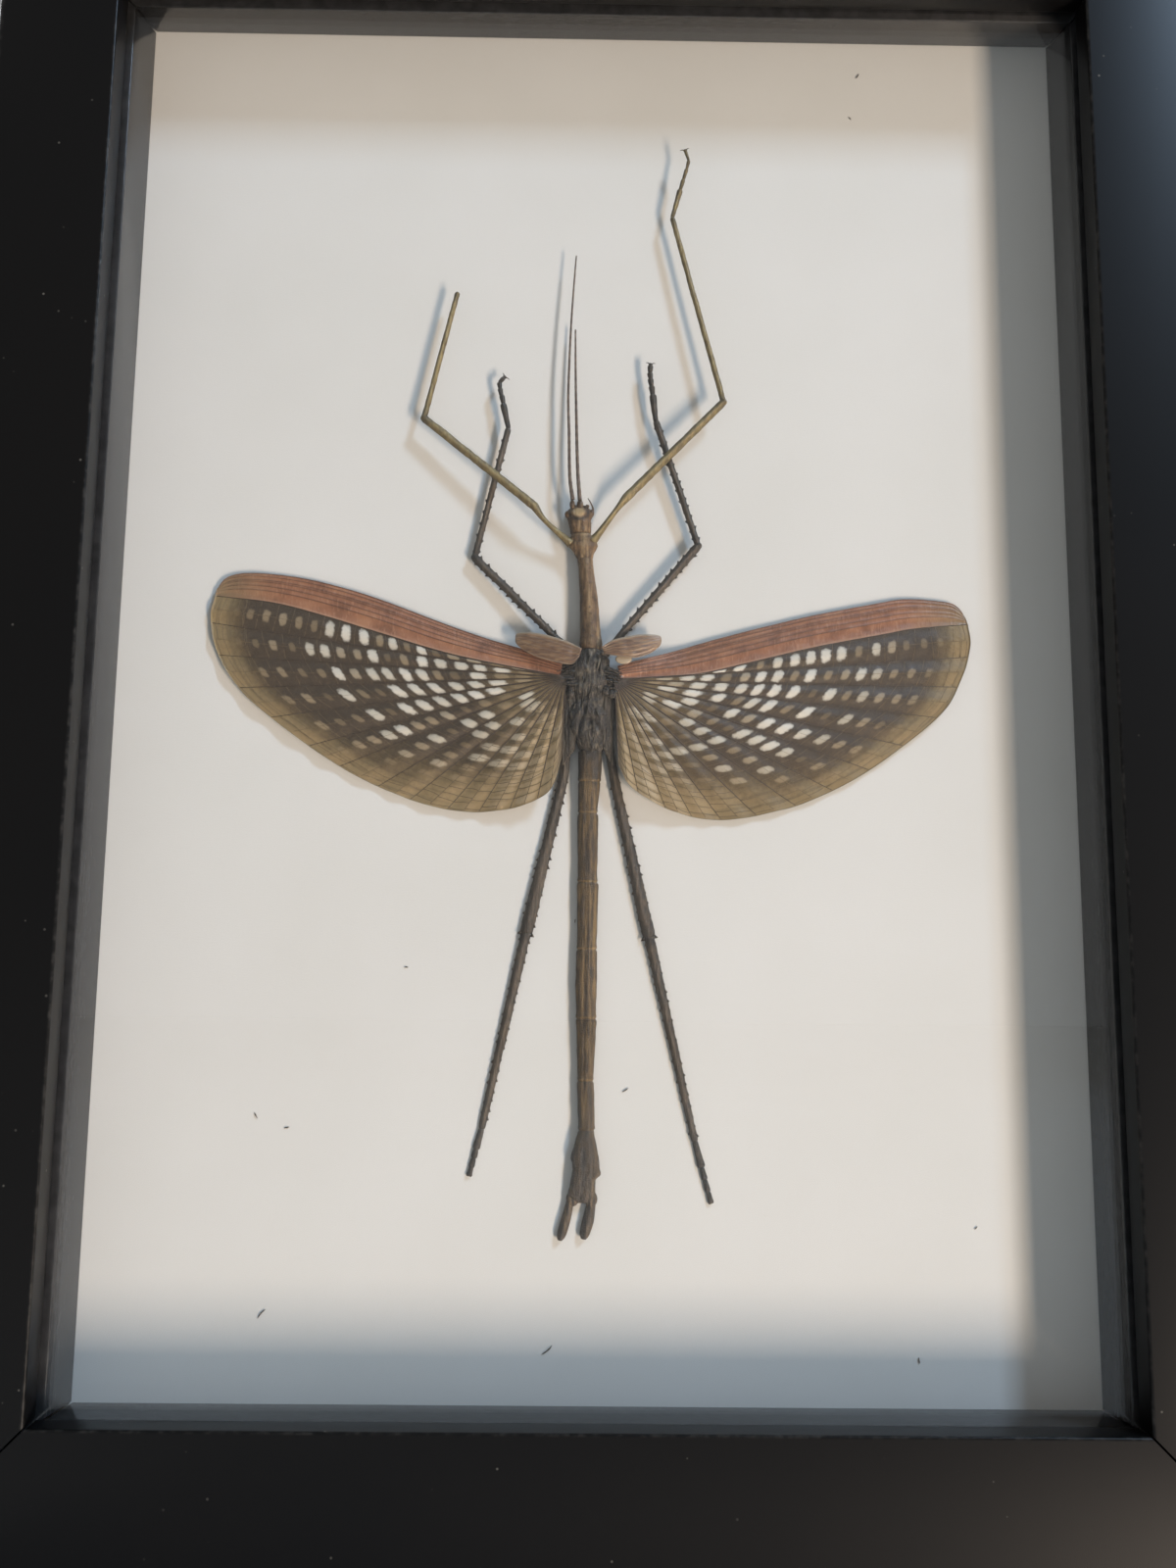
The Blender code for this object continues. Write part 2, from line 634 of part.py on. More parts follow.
def build_fore_wing(side):
    """A small crowned leaf over the wing roots."""
    outline = [Vector(point) for point in FORE_WINGS[side]]
    middle = sum(outline, Vector((0, 0))) / len(outline)
    bm = bmesh.new()
    hub = bm.verts.new(place(middle.x, middle.y, FORE_WING_HEIGHT + FORE_WING_CROWN))
    inner = [bm.verts.new(place(*middle.lerp(point, 0.55), FORE_WING_HEIGHT + 0.7 * FORE_WING_CROWN))
             for point in outline]
    rim = [bm.verts.new(place(point.x, point.y, FORE_WING_HEIGHT)) for point in outline]
    for i in range(len(outline)):
        j = (i + 1) % len(outline)
        bm.faces.new((hub, inner[i], inner[j]))
        bm.faces.new((inner[i], rim[i], rim[j], inner[j]))
    wing = make_object("fore_wing_" + side, bm, FORE_WING_BROWN, smooth=True)
    thicken(wing, FORE_WING_THICKNESS)
    return wing


def build_insect():
    build_body_part("head", HEAD, THORAX_TAN)
    build_body_part("prothorax", PROTHORAX, THORAX_TAN)
    build_body_part("mesothorax", MESOTHORAX, THORAX_TAN)
    build_body_part("metathorax", METATHORAX, BODY_BROWN)
    build_body_part("abdomen", ABDOMEN, BODY_BROWN)
    build_flap("cercus_left", CERCUS_LEFT, BODY_BROWN)
    build_flap("cercus_right", CERCUS_RIGHT, BODY_BROWN)
    for name, knots in (("antenna_left", ANTENNA_LEFT), ("antenna_right", ANTENNA_RIGHT)):
        build_limb(name, knots, [SMOOTH] * (len(knots) - 1), ANTENNA_SIDES, BODY_BROWN)
    for name, rows in LEGS.items():
        build_leg(name, rows, LEG_OLIVE if name.startswith("fore") else LEG_DARK)
    for side in ("left", "right"):
        build_hind_wing(side)
        build_fore_wing(side)


def main():
    clear_scene()
    build_frame()
    build_insect()


main()
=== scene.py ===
"""Looks of a winged stick insect, spread on white board in a black box frame with a glass front.

Sizes are in millimetres until a piece is made, and then in metres. The insect has its own axes: u to the
right, v up the frame and h away from the board, with the zero of u and v between the wing roots.
"""

import math
import random

import bpy
from mathutils import Euler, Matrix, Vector, noise


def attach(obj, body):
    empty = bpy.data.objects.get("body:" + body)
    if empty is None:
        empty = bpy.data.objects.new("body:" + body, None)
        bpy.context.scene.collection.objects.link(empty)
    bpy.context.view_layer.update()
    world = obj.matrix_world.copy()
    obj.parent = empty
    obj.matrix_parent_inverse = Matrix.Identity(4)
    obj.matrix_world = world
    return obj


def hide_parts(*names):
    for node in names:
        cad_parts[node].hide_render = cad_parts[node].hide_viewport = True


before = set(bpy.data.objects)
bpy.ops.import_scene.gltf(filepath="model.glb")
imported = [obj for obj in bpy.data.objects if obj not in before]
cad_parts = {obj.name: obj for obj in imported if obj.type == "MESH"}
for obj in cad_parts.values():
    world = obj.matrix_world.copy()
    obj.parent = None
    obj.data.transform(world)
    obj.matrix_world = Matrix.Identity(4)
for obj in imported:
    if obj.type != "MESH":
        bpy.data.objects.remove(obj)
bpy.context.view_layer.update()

MM = 0.001
BODY = "root"
SEED = 7

# Frame, with the same driving sizes as the solids

GAP = 0.3
OPENING_W = 151.6
OPENING_H = 215.0
RAIL_W = 18.5
FRAME_DEPTH = 32.0
LIP_DEPTH = 4.5
LIP_OVERHANG = 5.0
FRAME_H = OPENING_H + 2 * RAIL_W
FACE_Y = -FRAME_DEPTH / 2
MITRE_SET_BACK = GAP / math.sqrt(2)
GLASS_FRONT = LIP_DEPTH + GAP
GLASS_THICKNESS = 1.1
GLASS_CHAMFER = 0.12
GLASS_SIDE_CLEARANCE = 0.5
BOARD_VISIBLE_W = 148.0
BOARD_VISIBLE_H = 215.5
BOARD_FRONT = 13.85
SPACER_FRONT = GLASS_FRONT + GLASS_THICKNESS + GAP
SPACER_BACK = BOARD_FRONT - GAP
SPACER_LEAN = {"left": 1.1, "right": 1.4, "top": -1.1, "bottom": 0.2}
RAIL_ROUNDING = (0.25, 0.5, 1.1, 1.1, 0.3, 0.0)
SPACER_ROUNDING = (0.1, 0.25, 0.15, 0.15)

# Insect, with the same driving sizes as the solids

ROOT_X = -0.97
ROOT_Z = FRAME_H / 2 - 0.9
BOARD_Y = FACE_Y + BOARD_FRONT

# Each row of a body part is v, the left and right edges in u, and the thickness.
HEAD = (
    (27.3, -3.1, -0.8, 1.3),
    (26.7, -3.6, -0.2, 2.2),
    (25.9, -3.9, 0.0, 2.7),
    (24.9, -3.8, -0.05, 2.8),
    (24.0, -3.5, -0.05, 2.7),
    (22.9, -3.3, -0.05, 2.4),
)
PROTHORAX = (
    (22.5, -3.2, 0.0, 2.4),
    (21.7, -3.3, 0.6, 2.5),
    (20.8, -3.3, 0.8, 2.6),
    (19.8, -2.8, 0.5, 2.5),
    (18.8, -2.2, 0.2, 2.3),
)
MESOTHORAX = (
    (18.5, -2.2, 0.3, 2.3),
    (17.6, -2.0, 0.3, 2.4),
    (12.3, -1.7, 1.1, 2.5),
    (6.5, -1.6, 1.6, 2.7),
    (4.8, -1.7, 1.9, 2.9),
    (4.2, -1.5, 1.7, 2.6),
)
METATHORAX = (
    (3.9, -1.7, 1.9, 2.8),
    (2.6, -2.7, 2.7, 3.3),
    (0.6, -3.3, 3.3, 3.4),
    (-1.5, -3.0, 2.9, 3.2),
    (-4.0, -2.7, 2.6, 2.9),
    (-6.3, -3.2, 2.8, 3.2),
    (-8.6, -2.9, 2.7, 3.1),
    (-10.4, -2.1, 2.2, 2.7),
    (-11.6, -1.7, 2.0, 2.4),
)
ABDOMEN = (
    (-11.9, -1.7, 2.0, 2.25),
    (-16.4, -1.6, 1.8, 1.89),
    (-20.9, -1.6, 1.3, 1.44),
    (-21.6, -1.7, 1.5, 1.52),
    (-31.4, -1.5, 1.4, 1.36),
    (-32.1, -1.6, 1.6, 1.44),
    (-41.5, -1.5, 1.4, 1.36),
    (-42.2, -1.6, 1.5, 1.44),
    (-47.0, -1.7, 1.5, 1.44),
    (-51.7, -1.5, 1.4, 1.36),
    (-52.4, -1.5, 1.5, 1.44),
    (-60.8, -1.2, 1.1, 1.28),
    (-61.4, -1.3, 1.2, 1.36),
    (-67.9, -1.0, 1.4, 1.36),
    (-68.6, -1.1, 1.3, 1.44),
    (-72.0, -2.1, 2.0, 1.6),
    (-73.6, -1.8, 2.2, 1.6),
    (-74.5, -1.9, 2.5, 1.52),
    (-75.2, -2.0, 1.5, 1.44),
    (-77.0, -2.4, 1.6, 1.28),
    (-77.9, -2.4, 1.7, 1.12),
    (-78.4, -1.8, 1.2, 0.8),
)
# Small parts of the head: the centre and half sizes of each blob, and the knots of each feeler.
EYES = (((-3.75, 25.75, 1.9), (0.5, 0.6, 0.6)), ((-0.05, 26.05, 1.8), (0.45, 0.6, 0.6)))
SOCKETS = (((-3.05, 27.3, 2.2), (0.42, 0.75, 0.42)), ((-1.85, 27.3, 2.3), (0.5, 0.85, 0.45)),
           ((-0.9, 26.9, 2.0), (0.4, 0.35, 0.4)))
FEELERS = (((0.1, 25.6, 1.6), (0.2, 26.7, 1.9), (-0.15, 27.6, 2.0), (-0.6, 28.4, 2.0)),
           ((-0.7, 26.9, 1.6), (-0.5, 27.3, 1.7), (-0.9, 27.4, 1.8)))
TAIL_LOBES = (((-1.75, -78.0, 0.7), (0.95, 1.1, 0.5)), ((0.95, -78.0, 0.7), (0.95, 1.2, 0.5)))
ABDOMEN_JOINTS = (-16.4, -21.2, -31.7, -41.8, -52.0, -61.1, -68.2)
# Each row of a tail flap is u, v, half width and half thickness, from its root to its tip.
CERCUS_HEIGHT = 0.6
CERCI = {
    "left": ((-2.0, -77.6, 0.5, 0.45), (-2.3, -79.4, 0.62, 0.35), (-2.8, -81.3, 0.72, 0.3),
             (-3.3, -83.1, 0.66, 0.28), (-3.55, -83.9, 0.34, 0.2)),
    "right": ((1.1, -77.6, 0.6, 0.45), (0.85, -79.5, 0.74, 0.35), (0.5, -81.3, 0.86, 0.3),
              (0.05, -83.0, 0.72, 0.28), (-0.1, -83.7, 0.36, 0.2)),
}

# Warts on the middle thorax: v and the angle round the body.
WARTS = tuple((random.Random(SEED + i).uniform(4.5, 18), random.Random(SEED + 50 + i).uniform(0.3, 2.8))
              for i in range(26))

# Torn tissue on the middle of the body.
WING_ROOT_RIBS = 15
WING_ROOT_LUMPS = 12
SHREDS = 34
SKIN_FOLDS = 9
SKIN_REACH = {"left": 1.7, "right": 1.2}

# Each knot of a limb is u, v, h and the radius there, from the body outwards.
ANTENNAE = {
    "left": ((-3.0, 27.9, 2.8, 0.34), (-3.5, 31.8, 2.8, 0.28), (-3.7, 38.8, 2.7, 0.24),
             (-3.9, 45.6, 2.6, 0.21), (-3.6, 56.9, 2.4, 0.17), (-3.1, 66.0, 2.2, 0.14),
             (-2.9, 69.0, 2.2, 0.11)),
    "right": ((-1.9, 27.9, 2.8, 0.34), (-2.3, 33.4, 2.6, 0.28), (-2.6, 42.3, 2.2, 0.23),
              (-2.8, 50.0, 1.8, 0.18), (-2.9, 56.7, 1.5, 0.13)),
}
ANTENNA_RING_PITCH = 1.35
# A leg's knots run from the hip, inside the body, to the knee, the ankle and the claws. What follows them
# is the knot where the thick upper leg starts, how many toe joints the foot has, and the teeth's spacing
# and length.
LEGS = {
    "fore_leg_left": (
        ((-3.2, 21.1, 1.9, 0.75), (-4.3, 21.9, 2.2, 0.5), (-7.3, 24.4, 2.9, 0.36),
         (-9.0, 26.6, 3.4, 0.62), (-26.6, 41.1, 2.3, 0.55), (-21.8, 62.2, 2.5, 0.36)), 3, 0, (5.2, 0.1)),
    "fore_leg_right": (
        ((0.1, 21.5, 1.9, 0.75), (1.1, 22.6, 2.2, 0.5), (3.7, 26.1, 2.9, 0.38), (5.3, 28.1, 3.3, 0.62),
         (20.6, 44.2, 3.0, 0.55), (12.5, 75.8, 2.3, 0.36), (13.8, 80.6, 2.6, 0.3),
         (15.1, 85.3, 3.1, 0.34), (14.6, 86.9, 3.1, 0.2)), 3, 5, (5.2, 0.1)),
    "mid_leg_left": (
        ((-1.6, 3.0, 1.7, 0.8), (-3.2, 4.3, 1.6, 0.55), (-5.2, 5.8, 1.7, 0.5), (-18.2, 18.9, 1.0, 0.58),
         (-13.3, 39.8, 1.8, 0.42), (-14.9, 47.6, 1.8, 0.34), (-14.2, 48.3, 1.7, 0.32)),
        2, 5, (1.6, 0.42)),
    "mid_leg_right": (
        ((1.8, 3.2, 1.7, 0.8), (3.2, 4.6, 1.6, 0.55), (5.0, 6.9, 1.7, 0.5), (16.7, 21.1, 1.5, 0.58),
         (10.0, 41.4, 1.8, 0.46), (9.0, 49.6, 2.0, 0.27), (9.1, 50.6, 2.0, 0.36)), 2, 5, (1.6, 0.42)),
    "hind_leg_left": (
        ((-2.2, -8.6, 1.7, 0.95), (-3.4, -11.2, 1.0, 0.65), (-3.8, -15.4, 0.65, 0.64),
         (-9.2, -39.4, 0.55, 0.9), (-15.3, -68.2, 0.34, 0.46), (-17.0, -75.0, 0.28, 0.34)),
        2, 4, (1.5, 0.42)),
    "hind_leg_right": (
        ((2.1, -8.8, 1.7, 0.95), (3.1, -11.4, 1.0, 0.65), (3.9, -15.9, 0.65, 0.64),
         (9.3, -39.8, 0.55, 0.9), (16.2, -69.7, 0.34, 0.46), (18.6, -78.6, 0.28, 0.34)),
        2, 4, (1.5, 0.42)),
}
HIND_LEG_FLATNESS = 0.52
KNEE_SPUR = 0.6
LIMB_SIDES = 16

# A hind wing is a stiff front strip and a pleated fan. Points are u, v. The main veins are given by their
# slope below the horizontal, in degrees, from the strip to the body.
WING_ROOT_HEIGHT = 2.9
WING_TIP_HEIGHT = 0.55
WING_DROOP = 0.85
WING_DEPTH = 24.0
WING_RAISED_W = 14.0
WING_REACH = 59.0
STRIP_TIP = 0.95
PLEAT_HEIGHT = 0.3
WINGS = {
    "left": {
        "outward": -1,
        "root": (-3.8, -0.5),
        "leading": ((-3.9, 1.5), (-10.2, 4.0), (-20.4, 7.4), (-32.8, 12.0), (-40.9, 14.4), (-47.1, 15.6),
                    (-53.2, 16.0), (-56.6, 15.3), (-58.2, 13.4)),
        "strip_rear": ((-4.2, -0.4), (-20.3, 2.8), (-32.6, 6.4), (-40.7, 8.9), (-49.1, 11.1),
                       (-58.4, 12.2)),
        "margin": ((-58.4, 12.2), (-58.9, 8.4), (-57.7, 3.4), (-55.3, -0.8), (-51.5, -4.9),
                   (-42.8, -11.4), (-35.8, -15.7), (-29.3, -18.6), (-23.7, -20.4), (-17.8, -21.2),
                   (-11.8, -20.7), (-7.8, -19.3), (-5.5, -17.4), (-4.1, -12.9)),
        "veins": (-8.7, -3.5, 2.1, 8.1, 15.4, 22.0, 30.7, 38.8, 48.8, 58.0, 68.0, 78.0),
    },
    "right": {
        "outward": 1,
        "root": (3.8, -0.8),
        "leading": ((3.9, 1.2), (10.0, 3.2), (19.2, 6.2), (32.8, 9.9), (43.1, 12.1), (49.3, 13.2),
                    (55.5, 12.8), (57.4, 12.0), (58.5, 10.4)),
        "strip_rear": ((4.4, -0.7), (15.6, 0.2), (24.5, 2.3), (34.7, 5.0), (45.0, 7.2), (50.8, 8.4),
                       (58.9, 9.2)),
        "margin": ((58.9, 9.2), (59.1, 5.6), (58.0, 1.5), (54.9, -4.4), (48.3, -10.2), (40.8, -15.4),
                   (33.2, -19.1), (27.9, -20.7), (22.4, -21.8), (17.2, -21.8), (11.5, -20.3),
                   (6.4, -17.3), (4.4, -13.9)),
        "veins": (-5.0, 0.0, 5.6, 11.8, 18.5, 26.0, 34.0, 43.0, 52.0, 60.0, 68.0, 78.0),
    },
}
STRIP_VEINS = (0.88, 0.75, 0.69, 0.54, 0.38)
# The fine net of cross veins covers the fan from this share down, and a rim of it everywhere.
NET_FROM = 0.55
NET_RIM = 5.0
NET_PITCH = 1.25
MEMBRANE = 0.05
VEIN_LIFT = MEMBRANE * 0.8
# The share of cells with a bright window, and that of cells with any but a very faint one.
STRONG_CELLS = 0.6
WEAK_CELLS = 0.86
# The mesh has this many columns over the strip and over each sector of the fan, and this many rings from
# the root to the margin.
STRIP_COLUMNS = 34
FAN_COLUMNS = 12
RINGS = 150
FIRST_RING = 0.006
WING_VALUES = ("off", "along", "spot", "tan", "bar", "dark")
# Places in the lists of materials of a hind wing and of the head.
FAN = 0
STRIP = 1
VEIN = 2
EYE = 1
FORE_WING_HEIGHT = 3.9
FORE_WING_DROOP = 1.8
FORE_WING_CROWN = 0.28
FORE_WING_THICKNESS = 0.07
FORE_WING_VEINS = 34
# The pale flap of skin under the right fore wing.
FLAP_PLACE = (5.1, 2.3, 3.5)
FLAP_SIZE = (1.3, 0.75, 0.12)
# Both edges of a fore wing start at its tip.
FORE_WINGS = {
    "left": (
        ((-11.6, 5.5), (-11.5, 6.2), (-10.9, 6.5), (-8.6, 6.4), (-5.8, 5.7), (-3.3, 4.8), (-1.3, 3.8)),
        ((-11.6, 5.5), (-11.4, 4.8), (-10.1, 3.6), (-7.9, 2.4), (-5.4, 1.7), (-2.9, 1.3), (-1.7, 2.4))),
    "right": (
        ((11.0, 5.5), (10.9, 6.1), (10.3, 6.4), (7.6, 6.3), (5.4, 5.8), (3.4, 5.2), (1.6, 4.0)),
        ((11.0, 5.5), (10.6, 4.6), (9.2, 3.4), (7.2, 2.6), (5.8, 2.5), (4.2, 2.7), (2.2, 3.0))),
}

# Crumbs and fibres that lie on the board: u, v, length and turn in degrees.
DEBRIS = (
    (5.9, -62.4, 1.1, 30), (-5.2, -99.2, 1.9, 40), (-1.8, -37.5, 0.6, 80), (-48.6, -66.6, 1.0, 120),
    (-44.0, -68.3, 0.8, 10), (-46.5, -94.6, 1.6, 50), (-27.1, -44.7, 0.6, 0), (43.4, 103.0, 1.0, 60),
    (42.0, 95.3, 0.7, 130), (48.7, -100.3, 0.9, 100), (57.5, -81.7, 0.6, 45))

# Camera and lights. A light's slopes say how far right and up it is for each millimetre from the board.

CAMERA_PLACE = (-3.2073, FACE_Y - 194.6769, FRAME_H / 2 - 48.2609)
CAMERA_TURN = (98.423, -0.601, -0.674)
CAMERA_LENS = 21.0
CAMERA_SENSOR_HEIGHT = 24.0
WARM_LIGHT = {"slope": (0.98, -0.95), "size": (0.27, 0.8), "power": 46.0, "colour": (1.0, 0.82, 0.66)}
COOL_LIGHT = {"slope": (1.12, 1.45), "size": (0.3, 0.6), "power": 57.0, "colour": (0.55, 0.75, 1.0)}
LIGHT_DISTANCE = 1100.0
# A weaker lamp behind the frame. These four, and the floor's size, are in metres and watts.
BACK_LIGHT_PLACE = (-0.9, 1.3, 1.1)
BACK_LIGHT_AIM = (0.0, 0.0, 0.12)
BACK_LIGHT_SIZE = 1.2
BACK_LIGHT_POWER = 25.0
FLOOR_SIZE = 6.0
FLOOR_HEIGHT = -0.0001
SKY = (0.236, 0.237, 0.235)


# Shader nodes

def shade(text):
    """A colour written as on a paint chart, such as 8a7d62, in linear light."""
    parts = [int(text[i:i + 2], 16) / 255 for i in (0, 2, 4)]
    return tuple(p / 12.92 if p <= 0.04045 else ((p + 0.055) / 1.055) ** 2.4 for p in parts) + (1.0,)


class Look:
    """One material, with short calls that add nodes to it."""

    def __init__(self, name, roughness=0.5, **settings):
        self.material = bpy.data.materials.new(name)
        self.material.use_nodes = True
        self.tree = self.material.node_tree
        self.shader = self.tree.nodes["Principled BSDF"]
        self.shader.inputs["Roughness"].default_value = roughness
        for socket, value in settings.items():
            self.shader.inputs[socket.replace("_", " ")].default_value = value
        self.place = self.tree.nodes.new("ShaderNodeTexCoord").outputs["Object"]

    def add(self, kind, inputs, **settings):
        node = self.tree.nodes.new("ShaderNode" + kind)
        for key, value in settings.items():
            setattr(node, key, value)
        for socket, value in inputs.items():
            if isinstance(value, bpy.types.NodeSocket):
                self.tree.links.new(value, node.inputs[socket])
            else:
                node.inputs[socket].default_value = value
        return node

    def value(self, name):
        """A number stored on the mesh."""
        return self.add("Attribute", {}, attribute_name=name).outputs["Fac"]

    def stretch(self, scale):
        """The place on the piece in millimetres, times a scale along each axis."""
        inputs = {"Vector": self.place, "Scale": [share / MM for share in scale]}
        return self.add("Mapping", inputs).outputs["Vector"]

    def noise(self, scale, detail=3.0, where=None, roughness=0.5, twist=0.0):
        """Noise of that many bumps a millimetre."""
        where = where if where is not None else self.stretch((1, 1, 1))
        return self.add("TexNoise", {"Vector": where, "Scale": scale, "Detail": detail,
                                     "Roughness": roughness, "Distortion": twist}).outputs["Fac"]

    def math(self, operation, a, b=0.0, clamp=False):
        return self.add("Math", {0: a, 1: b}, operation=operation, use_clamp=clamp).outputs[0]

    def step(self, value, low, high):
        """0 below low, 1 above high and a soft rise between them."""
        return self.add("MapRange", {"Value": value, "From Min": low, "From Max": high},
                        interpolation_type="SMOOTHSTEP").outputs[0]

    def times(self, a, b):
        return self.math("MULTIPLY", a, b)

    def plus(self, a, b, clamp=False):
        return self.math("ADD", a, b, clamp)

    def centred(self, value):
        """Noise that swings around zero."""
        return self.math("SUBTRACT", value, 0.5)

    def mix(self, share, a, b):
        """Colour a where share is 0, and b where it is 1. Colour b may be a chart colour."""
        b = shade(b) if isinstance(b, str) else b
        return self.add("Mix", {"Factor": share, "A": a, "B": b}, data_type="RGBA").outputs["Result"]

    def ramp(self, value, *stops):
        """A colour between stops, each a place from 0 to 1 and a colour."""
        node = self.add("ValToRGB", {"Fac": value})
        band = node.color_ramp
        while len(band.elements) < len(stops):
            band.elements.new(0.5)
        for element, (place, colour) in zip(band.elements, stops):
            element.position = place
            element.color = shade(colour) if isinstance(colour, str) else colour
        return node.outputs["Color"]

    def colour(self, value):
        self.tree.links.new(value, self.shader.inputs["Base Color"])

    def rough(self, value, low, high):
        """Roughness from low to high as the value goes from 0 to 1."""
        out = self.add("MapRange", {"Value": value, "To Min": low, "To Max": high}).outputs[0]
        self.tree.links.new(out, self.shader.inputs["Roughness"])

    def bump(self, *heights):
        """Fine relief, from pairs of a height and its depth in millimetres."""
        normal = None
        for height, depth in heights:
            inputs = {"Height": height, "Distance": depth * MM, "Strength": 1.0}
            if normal is not None:
                inputs["Normal"] = normal
            normal = self.add("Bump", inputs).outputs["Normal"]
        self.tree.links.new(normal, self.shader.inputs["Normal"])


# Materials

def paint_look():
    """Satin black paint on wood, with dust and lighter edges."""
    look = Look("satin_black_paint", 0.34, Specular_IOR_Level=0.22)
    cloud = look.noise(0.02, 2)
    fine = look.noise(5.0, 2)
    base = look.ramp(cloud, (0.3, "0d0d0e"), (0.7, "100f0f"))
    dust = look.add("TexVoronoi", {"Vector": look.stretch((1, 1, 1)), "Scale": 0.42}).outputs["Distance"]
    patch = look.step(look.noise(0.12, 2), 0.53, 0.66)
    speck = look.times(look.step(dust, 0.1, 0.05), patch)
    worn = look.times(look.value("edge"), look.step(look.noise(0.8, 4), 0.4, 0.75))
    base = look.mix(look.times(worn, 0.5), base, "4c4a47")
    look.colour(look.mix(look.times(speck, 0.4), base, "8e8b84"))
    look.rough(look.plus(look.times(cloud, 0.7), look.times(fine, 0.3)), 0.33, 0.4)
    look.bump((fine, 0.006))
    return look.material


def bar_look():
    """Black moulded bar, a little glossy, with fine scuffs along it."""
    look = Look("gloss_black_bar", 0.2, IOR=1.55)
    scuff = look.noise(1.0, 4, look.stretch((0.5, 3.0, 0.5)))
    look.colour(look.ramp(scuff, (0.35, "2b2b2c"), (0.7, "3a3a3b")))
    look.rough(scuff, 0.12, 0.3)
    look.bump((look.noise(0.25, 3), 0.03), (scuff, 0.006))
    return look.material


def board_look():
    """Off-white mounting board: matt paper with fine fibres."""
    look = Look("white_board", 0.8, Specular_IOR_Level=0.25)
    fibre = look.noise(1.0, 5, look.stretch((2.0, 1.0, 5.0)), twist=0.6)
    cloud = look.noise(0.03, 3)
    base = look.ramp(cloud, (0.3, "e6e4de"), (0.7, "ebe9e4"))
    look.colour(look.mix(look.step(fibre, 0.62, 0.8), base, "dfdcd4"))
    look.bump((fibre, 0.015), (look.noise(12.0, 2), 0.006))
    return look.material


def glass_look():
    """Clear float glass."""
    look = Look("clear_glass", 0.0, IOR=1.5, Transmission_Weight=1.0)
    haze = look.noise(0.02, 2)
    look.colour(look.ramp(haze, (0.0, (0.985, 0.995, 0.99, 1.0)), (1.0, "ffffff")))
    return look.material


def fibreboard_look():
    """Brown pressed fibre with darker flecks."""
    look = Look("fibreboard", 0.75)
    fleck = look.noise(1.0, 5, look.stretch((0.7, 1.0, 1.6)), twist=1.5)
    cloud = look.noise(0.04, 3)
    base = look.ramp(cloud, (0.3, "8a6647"), (0.7, "9c7752"))
    base = look.mix(look.step(fleck, 0.55, 0.7), base, "5f432c")
    look.colour(look.mix(look.step(look.noise(4.0, 2), 0.66, 0.75), base, "c0a27c"))
    look.bump((fleck, 0.06), (look.noise(6.0, 3), 0.03))
    return look.material


def steel_look():
    """Zinc-plated sheet steel, brushed, with dull stains."""
    look = Look("plated_steel", 0.3, Metallic=1.0)
    brushed = look.noise(1.0, 4, look.stretch((0.4, 1.0, 9.0)))
    stain = look.noise(0.35, 4)
    look.colour(look.ramp(stain, (0.35, "a8a59c"), (0.6, "c9c7c0"), (0.8, "8d8776")))
    look.rough(brushed, 0.25, 0.5)
    look.bump((brushed, 0.01))
    return look.material


def cuticle_look(name, dark, middle, light, pale, grain, roughness=0.5):
    """Dried cuticle: long streaks and blotches, with pale and dark stored on the mesh: its own marks, and
    also painted highlights and painted shade.
    """
    look = Look(name, roughness, IOR=1.5)
    streak = look.noise(1.0, 5, look.stretch((grain, grain, grain * 0.28)), roughness=0.6)
    long_streak = look.noise(1.0, 3, look.stretch((grain * 1.6, grain, grain * 0.1)))
    blotch = look.noise(0.6, 4)
    fleck = look.noise(5.0, 3)
    tone = look.plus(look.times(streak, 0.6), look.times(blotch, 0.4))
    base = look.ramp(tone, (0.4, dark), (0.5, middle), (0.6, light))
    base = look.mix(look.times(look.step(long_streak, 0.52, 0.62), 0.65), base, dark)
    base = look.mix(look.times(look.step(long_streak, 0.45, 0.36), 0.35), base, pale)
    base = look.mix(look.times(look.step(fleck, 0.56, 0.68), 0.55), base, dark)
    # The stored pale and dark hold painted highlights and painted shade as well as marks; 1d1812 colours
    # both the dark marks and the painted shade.
    base = look.mix(look.value("pale"), base, pale)
    deep = look.times(look.value("dark"), 0.85)
    look.colour(look.mix(deep, base, "1d1812"))
    look.rough(look.noise(2.0, 3), roughness - 0.1, roughness + 0.15)
    look.bump((long_streak, 0.16), (streak, 0.2), (fleck, 0.12))
    return look.material


def window_shape(look, tan, wobble, fine):
    """1 inside a cell's pale window and 0 outside, with a ragged edge that is softer where it is tan."""
    off = look.plus(look.value("off"), look.times(wobble, 0.8))
    shift = look.centred(look.noise(1.3, 2, look.stretch((1.0, 1.0, 1.7))))
    along = look.plus(look.value("along"), look.times(shift, 0.9))
    far_off, far_along = [look.math("POWER", look.math("ABSOLUTE", way), 3.0) for way in (off, along)]
    far = look.plus(look.plus(far_off, far_along), look.times(look.centred(fine), 1.4))
    sharp = look.step(far, 2.4, 0.2)
    soft = look.step(far, 3.0, -0.2)
    return look.add("Mix", {"Factor": tan, "A": sharp, "B": soft}, data_type="FLOAT").outputs["Result"]


